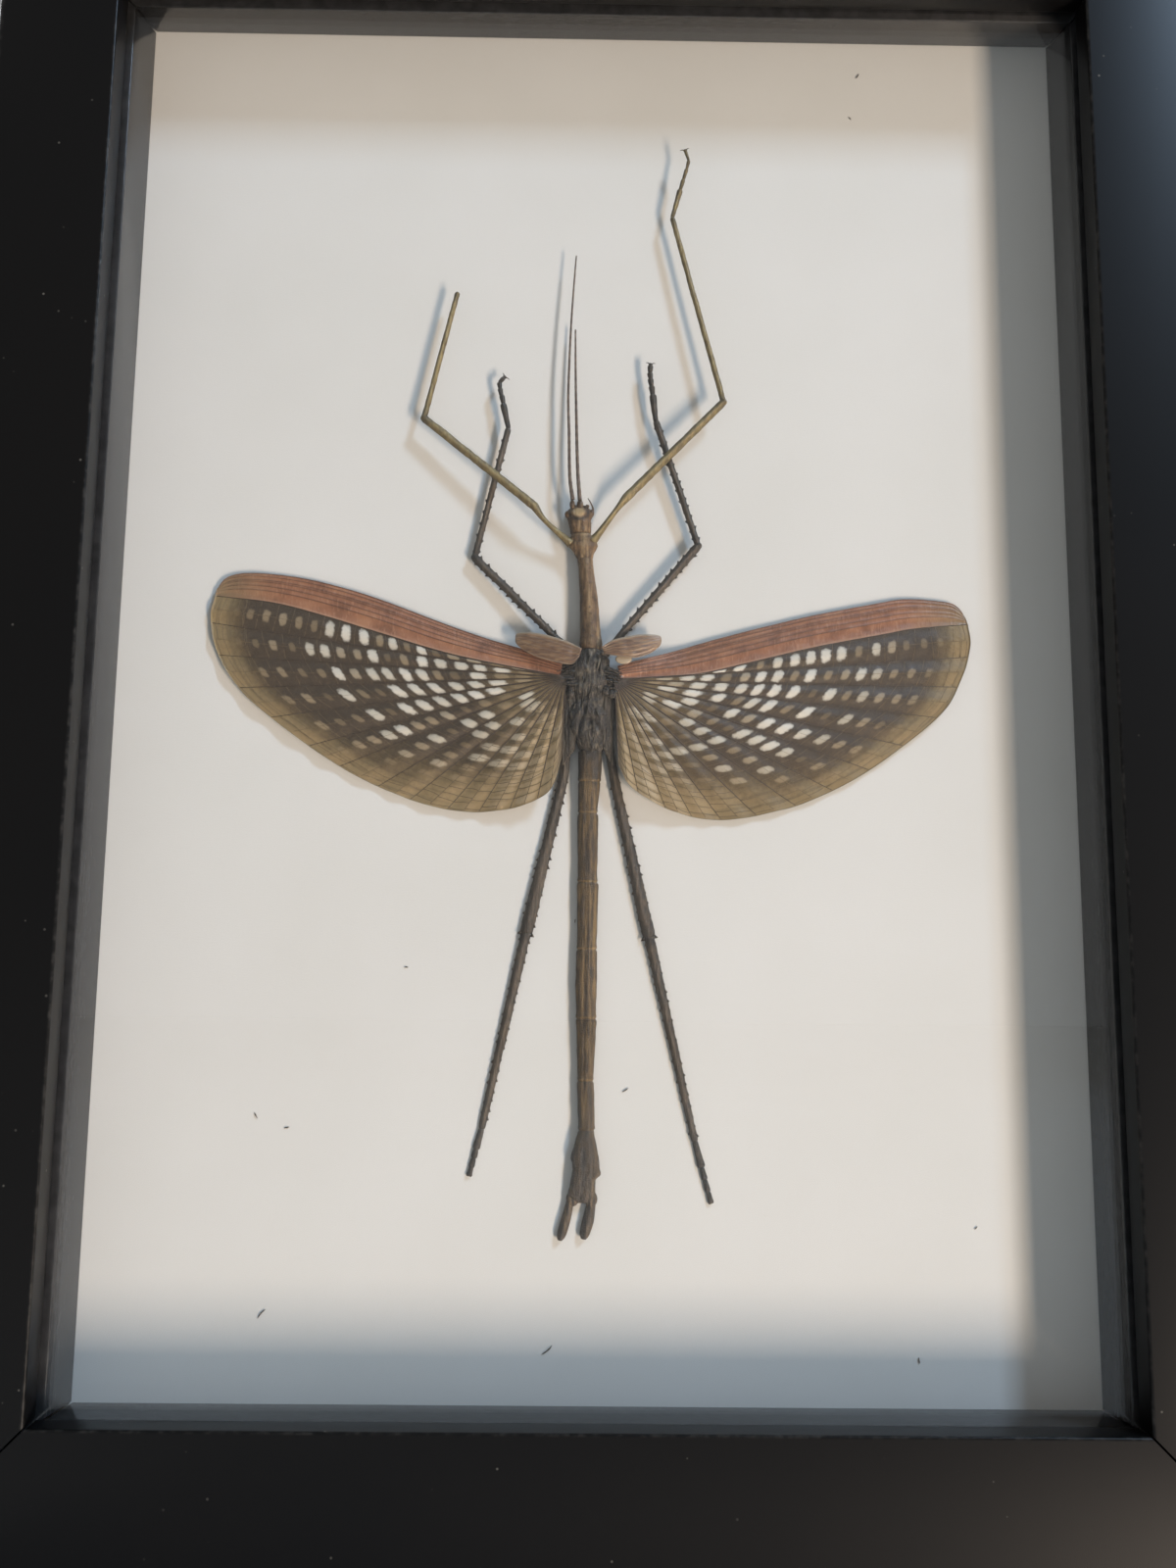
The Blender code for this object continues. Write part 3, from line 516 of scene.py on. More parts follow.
def fan_look():
    """The fan's membrane: rows of pale windows in dark brown, olive tan at the margin and the body."""
    look = Look("wing_fan", 0.42, IOR=1.45)
    ripple = look.noise(1.6, 3)
    fine = look.noise(7.0, 3)
    wobble = look.centred(ripple)
    strength = look.value("spot")
    tan = look.plus(look.value("tan"), look.times(wobble, 0.5), clamp=True)
    window = window_shape(look, tan, wobble, fine)
    window = look.times(window, look.plus(look.times(strength, 0.72), 0.28))
    ground = look.ramp(tan, (0.0, "42362a"), (0.4, "615138"), (1.0, "95805b"))
    ground = look.mix(look.times(look.value("bar"), 0.55), ground, "453929")
    ground = look.mix(look.times(look.step(fine, 0.5, 0.75), 0.3), ground, "857356")
    tone = look.plus(strength, look.times(look.centred(fine), 0.35), clamp=True)
    paper = look.ramp(tone, (0.0, "8f7a5a"), (0.45, "b09c7c"), (0.8, "d3cbb9"), (1.0, "e2dccf"))
    base = look.mix(window, ground, paper)
    look.colour(look.mix(look.value("dark"), base, "3a3128"))
    look.rough(ripple, 0.35, 0.55)
    look.bump((fine, 0.03), (look.noise(2.6, 3, twist=0.8), 0.05))
    return look.material


def strip_look():
    """The stiff front strip: coppery brown, ribbed along and finely crinkled across, with painted glints
    on the crinkles.
    """
    look = Look("wing_strip", 0.36, IOR=1.5)
    crinkle_and_glint = look.noise(1.0, 3, look.stretch((3.2, 1.0, 0.8)), twist=0.4)
    cloud = look.noise(0.35, 3)
    base = look.ramp(cloud, (0.3, "80563e"), (0.5, "9b694c"), (0.7, "ae7c5b"))
    # Lighter colour on the crinkles is a painted glint.
    base = look.mix(look.times(look.step(crinkle_and_glint, 0.5, 0.7), 0.35), base, "bf9072")
    base = look.mix(look.value("bar"), base, "553a2e")
    base = look.mix(look.value("tan"), base, "8a7556")
    look.colour(look.mix(look.value("spot"), base, "bd9479"))
    look.rough(crinkle_and_glint, 0.28, 0.5)
    look.bump((crinkle_and_glint, 0.07), (look.noise(6.0, 2), 0.02))
    return look.material


def fore_wing_look():
    """Small leathery fore wing with streaks along it and a pale rim."""
    look = Look("fore_wing", 0.4, IOR=1.5)
    streak = look.noise(1.0, 4, look.stretch((0.5, 1.0, 2.6)), twist=0.5)
    base = look.ramp(streak, (0.36, "6a5140"), (0.5, "7c614b"), (0.66, "927659"))
    base = look.mix(look.value("pale"), base, "b3a087")
    look.colour(look.mix(look.value("dark"), base, "3b2c23"))
    look.rough(streak, 0.3, 0.5)
    look.bump((streak, 0.025), (look.noise(5.0, 3), 0.02))
    return look.material


def plain_look(name, low, high, roughness, scale=1.5, depth=0.03):
    """A small part's finish: two tones of noise with a fine grain."""
    look = Look(name, roughness, IOR=1.5)
    grain = look.noise(scale, 4)
    look.colour(look.ramp(grain, (0.35, low), (0.68, high)))
    look.rough(grain, roughness - 0.08, roughness + 0.12)
    look.bump((grain, depth))
    return look.material


# Mesh pieces

def place(u, v, h):
    """Insect axes to the frame's axes, in millimetres."""
    return Vector((ROOT_X + u, BOARD_Y - h, ROOT_Z + v))


class Piece:
    """Points and faces of one piece in millimetres, with numbers for its materials on the corners."""

    def __init__(self, name, *value_names):
        self.name = name
        self.points = []
        self.faces = []
        self.kinds = []
        self.values = {value: [] for value in value_names}

    def add(self, points, faces, kind=0, corners=None, first=None, **values):
        """Add points and faces. A value is one number, or one for each point, or one for each corner."""
        start = len(self.points) if first is None else first
        self.points.extend(points)
        self.faces.extend([tuple(start + i for i in face) for face in faces])
        self.kinds.extend([kind] * len(faces))
        for name, store in self.values.items():
            if corners and name in corners:
                store.extend(corners[name])
                continue
            value = values.get(name, 0.0)
            for face in faces:
                store.extend(value[i] if isinstance(value, list) else value for i in face)

    def make(self, materials, replaces=None, sharp=None):
        mesh = bpy.data.meshes.new(self.name)
        mesh.from_pydata([point * MM for point in self.points], [], self.faces)
        for material in materials:
            mesh.materials.append(material)
        mesh.polygons.foreach_set("material_index", self.kinds)
        for name, store in self.values.items():
            attribute = mesh.attributes.new(name, "FLOAT", "CORNER")
            attribute.data.foreach_set("value", store)
        mesh.update()
        mesh.shade_smooth()
        if sharp:
            mesh.set_sharp_from_angle(angle=math.radians(sharp))
        piece = bpy.data.objects.new(self.name, mesh)
        bpy.context.scene.collection.objects.link(piece)
        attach(piece, BODY)
        if replaces:
            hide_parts(*replaces)
        return piece


def loft(rings):
    """Points and faces of a closed tube through rings of points."""
    count = len(rings[0])
    points = [point for ring in rings for point in ring]
    faces = []
    for i in range(len(rings) - 1):
        for j in range(count):
            k = (j + 1) % count
            faces.append((i * count + j, i * count + k, (i + 1) * count + k, (i + 1) * count + j))
    last = (len(rings) - 1) * count
    faces.append(tuple(range(count - 1, -1, -1)))
    faces.append(tuple(range(last, last + count)))
    return points, faces


def rim_walls(rows, columns, flip):
    """Faces around the edge of a sheet that has an upper and a lower layer of rows by columns points."""
    rim = [(0, j) for j in range(columns)] + [(i, columns - 1) for i in range(1, rows)]
    rim += [(rows - 1, j) for j in range(columns - 2, -1, -1)] + [(i, 0) for i in range(rows - 2, 0, -1)]
    below = rows * columns
    walls = []
    for (i, j), (k, m) in zip(rim, rim[1:] + rim[:1]):
        a, b = i * columns + j, k * columns + m
        wall = (a, b, below + b, below + a)
        walls.append(wall[::-1] if flip else wall)
    return walls


def tube(path, radii, sides, section=None, flat=1.0):
    """A closed tube along points of u, v, h. The section gives the radius at an angle, as a share."""
    up = Vector((0, 0, 1))
    rings = []
    for i, centre in enumerate(path):
        tangent = (path[min(i + 1, len(path) - 1)] - path[max(i - 1, 0)]).normalized()
        side = tangent.cross(up)
        side = side.normalized() if side.length > 0.05 else Vector((1, 0, 0))
        top = side.cross(tangent).normalized()
        ring = []
        for angle in around(sides):
            reach = radii[i] * (section(angle) if section else 1.0)
            off = side * reach * math.cos(angle) + top * reach * flat * math.sin(angle)
            ring.append(place(*(centre + off)))
        rings.append(ring)
    return loft(rings)


def blob(centre, radii, sides=12, rings=8):
    """A closed egg shape: its centre and its half sizes in u, v, h."""
    stack = []
    for i in range(rings + 1):
        polar = math.pi * (0.04 + 0.92 * i / rings)
        ring = []
        for angle in around(sides):
            off = Vector((radii[0] * math.sin(polar) * math.cos(angle), -radii[1] * math.cos(polar),
                          radii[2] * math.sin(polar) * math.sin(angle)))
            ring.append(place(*(Vector(centre) + off)))
        stack.append(ring)
    return loft(stack)


def smooth_curve(points, share):
    """A point on a smooth curve through the given points, at a share from 0 to 1 of its length."""
    points = [Vector(point) for point in points]
    lengths = [(b - a).length for a, b in zip(points, points[1:])]
    target = share * sum(lengths)
    i = 0
    while i < len(lengths) - 1 and target > lengths[i]:
        target -= lengths[i]
        i += 1
    t = min(1.0, target / lengths[i])
    p1, p2 = points[i], points[i + 1]
    p0 = points[i - 1] if i else 2 * p1 - p2
    p3 = points[i + 2] if i + 2 < len(points) else 2 * p2 - p1
    return 0.5 * (2 * p1 + (p2 - p0) * t + (2 * p0 - 5 * p1 + 4 * p2 - p3) * t * t
                  + (3 * p1 - p0 - 3 * p2 + p3) * t ** 3)


def curve(points, steps):
    """Points spread evenly along the smooth curve, with both its ends."""
    return [smooth_curve(points, step / steps) for step in range(steps + 1)]


def around(sides):
    """Angles spread evenly over a full turn."""
    return [2 * math.pi * side / sides for side in range(sides)]


def sideways(along):
    """The direction level with the board and square to another one."""
    return along.cross(Vector((0, 0, 1))).normalized()


def ease(value, low, high):
    """0 below low, 1 above high and a soft rise between them."""
    t = min(1.0, max(0.0, (value - low) / (high - low)))
    return t * t * (3 - 2 * t)


def bell(value, middle, width):
    return math.exp(-((value - middle) / width) ** 2)


def rough(u, v, h, scale, seed=0.0):
    """Noise from about -1 to 1, with that many bumps a millimetre."""
    return noise.noise(Vector((u * scale + seed, v * scale, h * scale)))


# Frame pieces

def round_corners(profile, radii, steps=4):
    """The profile with each corner turned into an arc. Each point also says whether it is on an arc."""
    rounded = []
    for i, (corner, radius) in enumerate(zip(profile, radii)):
        corner = Vector(corner)
        if not radius:
            rounded.append((corner, 0.0))
            continue
        before = (Vector(profile[i - 1]) - corner).normalized()
        after = (Vector(profile[(i + 1) % len(profile)]) - corner).normalized()
        for step in range(steps + 1):
            t = step / steps
            bend = before * radius * (1 - t) ** 2 + after * radius * t ** 2
            rounded.append((corner + bend, math.sin(math.pi * t)))
    return rounded


def mitred_bar(name, side, profiles, inner_w, inner_h, material):
    """One bar of four around an opening, cut at each end against its neighbours' sections."""
    across = side in ("top", "bottom")
    outward = 1 if side in ("right", "top") else -1
    neighbours = ("left", "right") if across else ("bottom", "top")
    half_out = (inner_h if across else inner_w) / 2
    half_along = (inner_w if across else inner_h) / 2
    ends = []
    for sign, neighbour in zip((-1, 1), neighbours):
        ring = []
        for (point, _), (other, _) in zip(profiles[side], profiles[neighbour]):
            along = sign * (half_along + other[0] - MITRE_SET_BACK)
            off = outward * (half_out + point[0])
            x, z = (along, off) if across else (off, along)
            ring.append(Vector((x, FACE_Y + point[1], FRAME_H / 2 + z)))
        ends.append(ring)
    if side in ("left", "top"):
        ends.reverse()
    piece = Piece(name, "edge")
    piece.add(*loft(ends), edge=[edge for _, edge in profiles[side]] * 2)
    return piece.make([material], [name], sharp=50)


def build_bars(paint, bar):
    rail = ((0.0, LIP_DEPTH), (0.0, 0.0), (RAIL_W, 0.0), (RAIL_W, FRAME_DEPTH),
            (LIP_OVERHANG, FRAME_DEPTH), (LIP_OVERHANG, LIP_DEPTH))
    rails = round_corners(rail, RAIL_ROUNDING)
    spacers = {}
    for side in ("left", "right", "top", "bottom"):
        opening = OPENING_W if side in ("left", "right") else OPENING_H
        board = BOARD_VISIBLE_W if side in ("left", "right") else BOARD_VISIBLE_H
        outer = (opening - board) / 2 + LIP_OVERHANG - GLASS_SIDE_CLEARANCE
        corners = ((0.0, SPACER_BACK), (SPACER_LEAN[side], SPACER_FRONT), (outer, SPACER_FRONT),
                   (outer, SPACER_BACK))
        spacers[side] = round_corners(corners, SPACER_ROUNDING)
    profiles = {side: rails for side in spacers}
    for side in spacers:
        mitred_bar("frame_rail_" + side, side, profiles, OPENING_W, OPENING_H, paint)
        mitred_bar("spacer_" + side, side, spacers, BOARD_VISIBLE_W, BOARD_VISIBLE_H, bar)


def build_glass(material):
    """The pane in the rebate, with ground edges."""
    half_w = OPENING_W / 2 + LIP_OVERHANG - GLASS_SIDE_CLEARANCE
    half_h = OPENING_H / 2 + LIP_OVERHANG - GLASS_SIDE_CLEARANCE
    rings = []
    section = ((0.0, GLASS_CHAMFER), (GLASS_CHAMFER, 0.0), (GLASS_THICKNESS - GLASS_CHAMFER, 0.0),
               (GLASS_THICKNESS, GLASS_CHAMFER))
    for depth, inset in section:
        w = half_w - inset
        z = half_h - inset
        y = FACE_Y + GLASS_FRONT + depth
        corners = ((-w, -z), (-w, z), (w, z), (w, -z))
        rings.append([Vector((x, y, FRAME_H / 2 + up)) for x, up in corners])
    piece = Piece("glass")
    piece.add(*loft(rings))
    return piece.make([material], ["glass"], sharp=20)


def build_debris(material):
    """Crumbs and short fibres on the board, each a bent, tapered thread."""
    rng = random.Random(SEED)
    piece = Piece("debris_specks")
    for u, v, length, turn in DEBRIS:
        heading = Vector((math.cos(math.radians(turn)), math.sin(math.radians(turn)), 0))
        bend = Vector((-heading.y, heading.x, 0)) * length * rng.uniform(-0.1, 0.1)
        thick = 0.07 + 0.03 * length
        path = []
        radii = []
        for step in range(9):
            t = step / 8
            spot = Vector((u, v, thick + 0.02)) + heading * length * (t - 0.5)
            path.append(spot + bend * 4 * t * (1 - t))
            radii.append(thick * (0.25 + 0.75 * math.sin(math.pi * t)) * rng.uniform(0.7, 1.1))
        piece.add(*tube(path, radii, 6))
    return piece.make([material])


# Body of the insect

def row_at(rows, v):
    """A body row at any v, with the corners between rows rounded off."""
    total = [0.0, 0.0, 0.0]
    offsets = (-0.3, -0.15, 0.0, 0.15, 0.3)
    for offset in offsets:
        place_v = min(rows[0][0], max(rows[-1][0], v + offset))
        i = 0
        while i < len(rows) - 2 and place_v < rows[i + 1][0]:
            i += 1
        top, low = rows[i], rows[i + 1]
        t = (top[0] - place_v) / (top[0] - low[0])
        for k in range(3):
            total[k] += top[k + 1] + (low[k + 1] - top[k + 1]) * t
    return [value / len(offsets) for value in total]


def body_part(name, rows, relief, marks, looks, sides=44, step=0.13, extra=None, ragged=0.0):
    """A closed body through the rows. Relief pushes its skin out, and marks gives its pale and dark: its
    own marks together with painted shade and highlights.
    """
    top, low = rows[0][0] + GAP / 2, rows[-1][0] - GAP / 2
    count = max(8, round((top - low) / step))
    rings = []
    pale = []
    dark = []
    for i in range(count + 1):
        v = top + (low - top) * i / count
        left, right, thickness = row_at(rows, v)
        near_end = min(1.0, 0.68 + min(top - v, v - low))
        dome = math.sqrt(max(0.0, 1 - (1 - near_end) ** 2))
        ring = []
        for angle in around(sides):
            push = relief(v, angle)
            half = ((right - left) / 2 + push) * dome
            rise = (thickness / 2 + push) * dome
            u = (left + right) / 2 + half * math.cos(angle)
            h = GAP + thickness / 2 + rise * math.sin(angle)
            torn = ragged * rough(angle * 2, 0, 0, 1.6) * ease(v, low + 1.5, low)
            ring.append(place(u, v + torn, max(0.1, h)))
            light, deep = marks(u, v, angle, push)
            pale.append(min(1.0, max(0.0, light)))
            dark.append(min(1.0, max(0.0, deep)))
        rings.append(ring)
    piece = Piece(name, "pale", "dark")
    piece.add(*loft(rings), pale=pale, dark=dark)
    if extra:
        extra(piece)
    return piece.make(looks, [name])


def on_top(angle):
    """1 along the body's back, 0 at its sides and below."""
    return max(0.0, math.sin(angle))


def head_relief(v, angle):
    cheeks = 0.22 * bell(v, 26.0, 0.7) * abs(math.cos(angle)) ** 2 - 0.1 * bell(v, 24.9, 0.25)
    furrow = -0.12 * bell(angle, math.pi / 2, 0.12) * ease(v, 25.0, 24.4)
    bumps = 0.12 * rough(angle * 1.5, v, 0, 1.4, 3)
    return cheeks + furrow + bumps + 0.06 * rough(angle * 3, v, 0, 3.0, 9)


def head_marks_and_painted_light(u, v, angle, push):
    """A cream patch between the eyes, a dark line round its lower side, and pale streaks behind it, with
    painted shade down the left side.
    """
    from_patch = math.hypot((u + 2.0) / 1.15, (v - 25.9) / 0.95)
    cream = ease(from_patch, 1.0, 0.6) * on_top(angle)
    line = bell(from_patch, 1.25, 0.24) * ease(v, 26.9, 26.0)
    streak = 0.3 * bell(u, -1.9, 0.25) * ease(v, 25.0, 24.3)
    # The darkening down the left side, away from the lamps, is painted shade.
    return cream + streak, line + ease(math.cos(angle), -0.6, -0.95) * 0.5 - cream


def head_extras(piece):
    """Eyes, antenna sockets and mouth feelers."""
    for centre, radii in EYES:
        piece.add(*blob(centre, radii), kind=EYE)
    for centre, radii in SOCKETS:
        piece.add(*blob(centre, radii), dark=0.55)
    for knots in FEELERS:
        piece.add(*tube(curve(knots, 12), [0.17 - 0.008 * i for i in range(13)], 8), dark=0.35)


def prothorax_relief(v, angle):
    lump = 0.25 * bell(v, 20.9, 0.8) * abs(math.cos(angle)) ** 3
    groove = -0.12 * bell(v, 21.4, 0.2) * on_top(angle)
    return lump + groove + 0.13 * rough(angle * 1.5, v, 1, 1.6, 5) + 0.06 * rough(angle * 3, v, 2, 3.5, 8)


def prothorax_marks_and_painted_light(u, v, angle, push):
    stripe = bell(u, -1.35, 0.35) * on_top(angle) * (0.4 + 0.3 * rough(u, v, 0, 1.5))
    # Lighter on raised bumps is a painted highlight, and darker in hollows is painted shade; the stripe
    # and the front band are the skin's own colour.
    return stripe + 0.25 * bell(v, 22.4, 0.2) + 1.2 * max(0.0, push - 0.08), 1.6 * max(0.0, -push)


def near_wart(v, angle, length, width):
    """1 on a wart of the middle thorax, and 0 a little way off."""
    return sum(bell(v, at, length) * bell(angle, turn, width) for at, turn in WARTS if abs(v - at) < 0.6)


def mesothorax_relief(v, angle):
    """A long barrel with a low keel and scattered warts."""
    keel = 0.07 * bell(angle, math.pi / 2, 0.22)
    warts = 0.13 * near_wart(v, angle, 0.17, 0.14)
    fibres = 0.03 * rough(angle * 4, v * 0.25, 0, 2.0, 2)
    return keel + warts + fibres + 0.05 * rough(angle * 1.5, v, 1, 0.9, 4)


def mesothorax_marks_and_painted_light(u, v, angle, push):
    keel = 0.22 * bell(angle, math.pi / 2, 0.2)
    # Darker down the left side, away from the lamps on the right, is painted shade.
    painted_left_shade = 0.35 * ease(math.cos(angle), -0.5, -0.95)
    return keel, 0.75 * near_wart(v, angle, 0.15, 0.12) + painted_left_shade + 0.3 * ease(v, 5.3, 4.2)


def metathorax_relief(v, angle):
    """A torn, wrinkled mass: long folds, with a groove like a V in its lower half."""
    folds = 1 - 3 * abs(rough(angle * 2.8, v * 0.32, 0, 1.5, 11))
    lumps = 0.3 * rough(angle * 1.2, v, 3, 0.8, 6)
    groove = 0.4 * bell(abs(angle - math.pi / 2), 0.12 - 0.13 * (v + 4.5), 0.1)
    groove *= ease(v, -10.0, -9.0) * ease(v, -4.0, -5.0)
    return 0.16 * folds + lumps - groove + 0.11 * rough(angle * 4, v * 0.8, 1, 2.4, 7) - 0.1


def metathorax_marks_and_painted_light(u, v, angle, push):
    orange = bell(u, 0.05, 0.22) * bell(v, 3.0, 0.45)
    streak = ease(rough(u * 2.6, v * 0.8, 2, 1.2, 3), 0.12, 0.4) * on_top(angle)
    # Lighter on raised crests is a painted highlight, and darker in hollows is painted shade.
    ridge = ease(push, 0.15, 0.4) * (0.15 + 0.4 * streak)
    return 0.7 * orange + ridge + 0.36 * streak, 0.3 + 1.5 * max(0.0, -push) - orange - 0.3 * streak


def add_strand(piece, knots, thick, rng, dark, pale=0.0, steps=16, taper=0.9):
    """A bent, uneven thread of skin that thins out towards its end."""
    path = curve(knots, steps)
    path = [spot + Vector((0.1 * rough(spot.x, spot.y, 0, 0.9, thick * 40), 0, 0)) for spot in path]
    radii = [thick * (1 - taper * i / steps) * rng.uniform(0.85, 1.2) + 0.03 for i in range(steps + 1)]
    piece.add(*tube(path, radii, 8), pale=pale, dark=dark)


def add_wing_root(piece, root, out, rng):
    """Ribs that meet at the wing's root, over small lumps of torn muscle."""
    for i in range(WING_ROOT_RIBS):
        fall = i / (WING_ROOT_RIBS - 1)
        turn = math.radians(-12 + 80 * fall)
        heading = Vector((out * math.cos(turn), -math.sin(turn), 0))
        start = Vector((out * rng.uniform(1.6, 2.6), root.y + 2.0 - 3.4 * fall, rng.uniform(2.4, 3.1)))
        end = Vector((root.x, root.y + 0.8 - 1.1 * fall, 2.95)) + heading * rng.uniform(0.3, 1.8)
        middle = start.lerp(end, 0.5) + Vector((0, 0, rng.uniform(0.0, 0.25)))
        add_strand(piece, (start, middle, end), rng.uniform(0.12, 0.22), rng, rng.uniform(0.45, 0.8))
    for _ in range(WING_ROOT_LUMPS):
        centre = (root.x - out * rng.uniform(-0.3, 1.5), root.y + rng.uniform(-2.6, 1.8),
                  rng.uniform(2.2, 2.9))
        piece.add(*blob(centre, [rng.uniform(0.3, 0.75) for _ in range(3)]), dark=rng.uniform(0.3, 0.8))


def add_skin_folds(piece, root, out, width, rng):
    """Folded skin between the body and the wing."""
    for i in range(SKIN_FOLDS):
        share = i / (SKIN_FOLDS - 1)
        reach = width * share
        knots = ((2.6 + 0.9 * share, root.y - 0.3, 2.5 - 0.3 * share),
                 (2.3 + reach, -4.5, 2.4 - 0.5 * share),
                 (2.2 + reach, -9.0 - share, 2.3 - 0.4 * share),
                 (2.3 + reach, -11.5 - 2.3 * share, 1.8 - 0.4 * share))
        add_strand(piece, [Vector((out * u, v, h)) for u, v, h in knots], rng.uniform(0.22, 0.34), rng,
                   rng.uniform(0.15, 0.6), rng.choice((0.0, 0.1, 0.3)), steps=30, taper=0.4)


def add_shred(piece, rng):
    """A short fibre that lies on the body's back."""
    v = rng.uniform(-10.5, 3.0)
    left, right, thickness = row_at(METATHORAX, v)
    u = rng.uniform(left * 0.8, right * 0.8)
    length = rng.uniform(0.8, 2.4)
    turn = rng.gauss(math.pi / 2, 0.25)
    heading = Vector((math.cos(turn), math.sin(turn), 0))
    path = []
    for step in range(7):
        spot = Vector((u, v, 0)) + heading * length * (step / 6 - 0.5)
        across = min(0.97, abs(spot.x - (left + right) / 2) / ((right - left) / 2))
        spot.z = GAP + thickness / 2 * (1 + math.sqrt(1 - across ** 2)) - 0.02
        path.append(spot)
    thick = rng.uniform(0.08, 0.16)
    piece.add(*tube(path, [thick * (0.3 + 0.7 * math.sin(math.pi * i / 6)) for i in range(7)], 6),
              pale=rng.choice((0.0, 0.1, 0.25, 0.5)), dark=rng.choice((0.0, 0.3, 0.6)))


def metathorax_extras(piece):
    rng = random.Random(SEED + 1)
    for side in ("left", "right"):
        root = Vector(WINGS[side]["root"])
        add_wing_root(piece, root, WINGS[side]["outward"], rng)
        add_skin_folds(piece, root, WINGS[side]["outward"], SKIN_REACH[side], rng)
    for _ in range(SHREDS):
        add_shred(piece, rng)


def abdomen_relief(v, angle):
    """Long segments with a raised rear rim each, fine ribs along and a dented, shrunken skin."""
    joint = sum(0.06 * bell(v, at + 0.35, 0.25) - 0.14 * bell(v, at, 0.16) for at in ABDOMEN_JOINTS)
    ribs = 0.035 * math.cos(9 * angle) * on_top(angle)
    dents = 0.09 * rough(angle * 1.4, v * 0.5, 0, 0.9, 12)
    tail = 0.1 * ease(v, -70, -73) * rough(angle * 2, v, 4, 1.6, 5)
    slit = -0.14 * bell(angle, math.pi / 2 + 0.06, 0.12) * ease(v, -70.5, -71.5)
    return joint + ribs + dents + tail + slit + 0.035 * rough(angle * 4, v * 0.4, 0, 2.4, 1)


def abdomen_marks_and_painted_light(u, v, angle, push):
    joint = sum(bell(v, at + 0.1, 0.16) for at in ABDOMEN_JOINTS)
    streak = max(0.0, rough(u * 2.2, v * 0.12, 0, 1.1, 21)) * on_top(angle)
    broken = 0.5 + 0.5 * rough(u, v, 0, 1.7, 2)
    patch = bell(u, 0.15, 0.4) * bell(v, -14.0, 1.2) * on_top(angle)
    patch *= 0.7 + 0.5 * rough(u, v * 0.4, 0, 2.0)
    side_line = bell(math.cos(angle), 0.8, 0.14) + bell(math.cos(angle), -0.7, 0.12)
    pale = 0.7 * joint * broken + 0.9 * streak * ease(v, -71, -66) + 0.18 * side_line + 0.7 * patch
    ends = 0.8 * ease(v, -18, -14) + 0.42 * ease(v, -60, -67)
    # Darker in hollows and down the left side, away from the lamps, is painted shade; the darker ends are
    # the skin's own colour.
    deep = 1.5 * max(0.0, -push) + ends + 0.2 * ease(math.cos(angle), -0.4, -0.95)
    tail = ease(v, -70.5, -71.5) * ease(v, -77.5, -76.0)
    # The dark line down the tail's slit is painted shade in the groove.
    slit = 0.8 * bell(u, -0.25, 0.2) * tail
    pale += 0.45 * (bell(u, -0.75, 0.12) + bell(u, 0.3, 0.12)) * tail * broken
    return pale, deep - patch + slit


def abdomen_extras(piece):
    """The two lobes that the tail flaps grow from."""
    for centre, radii in TAIL_LOBES:
        piece.add(*blob(centre, radii, 20, 14), dark=0.1)


def build_cercus(side, looks):
    """A leaf-shaped tail flap with a raised middle line."""
    rows = CERCI[side]
    axis = Vector((rows[-1][0] - rows[0][0], rows[-1][1] - rows[0][1])).normalized()
    across = Vector((-axis.y, axis.x))
    rings = []
    for u, v, half_w, half_t in curve(rows, 40):
        ring = []
        for angle in around(20):
            ridge = 0.12 * bell(angle, math.pi / 2, 0.35)
            off = across * half_w * math.cos(angle)
            h = CERCUS_HEIGHT + (half_t + ridge) * math.sin(angle)
            h += 0.05 * rough(u + off.x, v + off.y, 0, 2.0)
            ring.append(place(u + off.x, v + off.y, h))
        rings.append(ring)
    piece = Piece("cercus_" + side, "pale", "dark")
    piece.add(*loft(rings), dark=0.1)
    return piece.make(looks, ["cercus_" + side])


# Limbs

def four_ridged(angle):
    return 1.0 + 0.13 * math.cos(4 * angle)


def add_limb(piece, path, widths, dark, flat):
    """A ridged tube with dark edges and a painted highlight along its top."""
    angles = around(LIMB_SIDES)
    deep = [min(1.0, value + 0.45 * abs(math.cos(angle)) ** 6) for value in dark for angle in angles]
    # The paler ridge along the top is a painted highlight.
    pale = [(1 - value) * 0.4 * bell(angle, math.pi / 2, 0.35) for value in dark for angle in angles]
    piece.add(*tube(path, widths, LIMB_SIDES, four_ridged, flat), pale=pale, dark=deep)


def limb_segment(piece, start, end, radii, dark_ends=(0.0, 0.0), seed=0.0, step=0.2, lead=(), flat=1.0):
    """One stiff segment, with darker skin near its joints. Lead is a curved stalk of knots before it."""
    run = end - start
    count = max(6, round(run.length / step))
    path = [Vector(knot[:3]) for knot in lead]
    widths = [knot[3] for knot in lead]
    dark = [0.0] * len(lead)
    for i in range(1 if lead else 0, count + 1):
        t = i / count
        spot = start + run * t
        wander = 0.05 * rough(spot.x, spot.y, spot.z, 0.35, seed)
        path.append(spot + Vector((wander, wander, 0)))
        near = (1 - t if lead else min(t, 1 - t)) * run.length
        cap = math.sqrt(max(0.0, 1 - (1 - min(1.0, 0.35 + near / 0.45)) ** 2))
        width = radii[0] + (radii[1] - radii[0]) * t
        widths.append(max(0.03, width * cap * (1 + 0.1 * rough(spot.x, spot.y, spot.z, 1.4, seed + 4))))
        shade_in = dark_ends[0] * ease(t * run.length, 2.4, 0.4)
        shade_out = dark_ends[1] * ease((1 - t) * run.length, 2.4, 0.4)
        dark.append(max(shade_in, shade_out))
    add_limb(piece, path, widths, dark, flat)


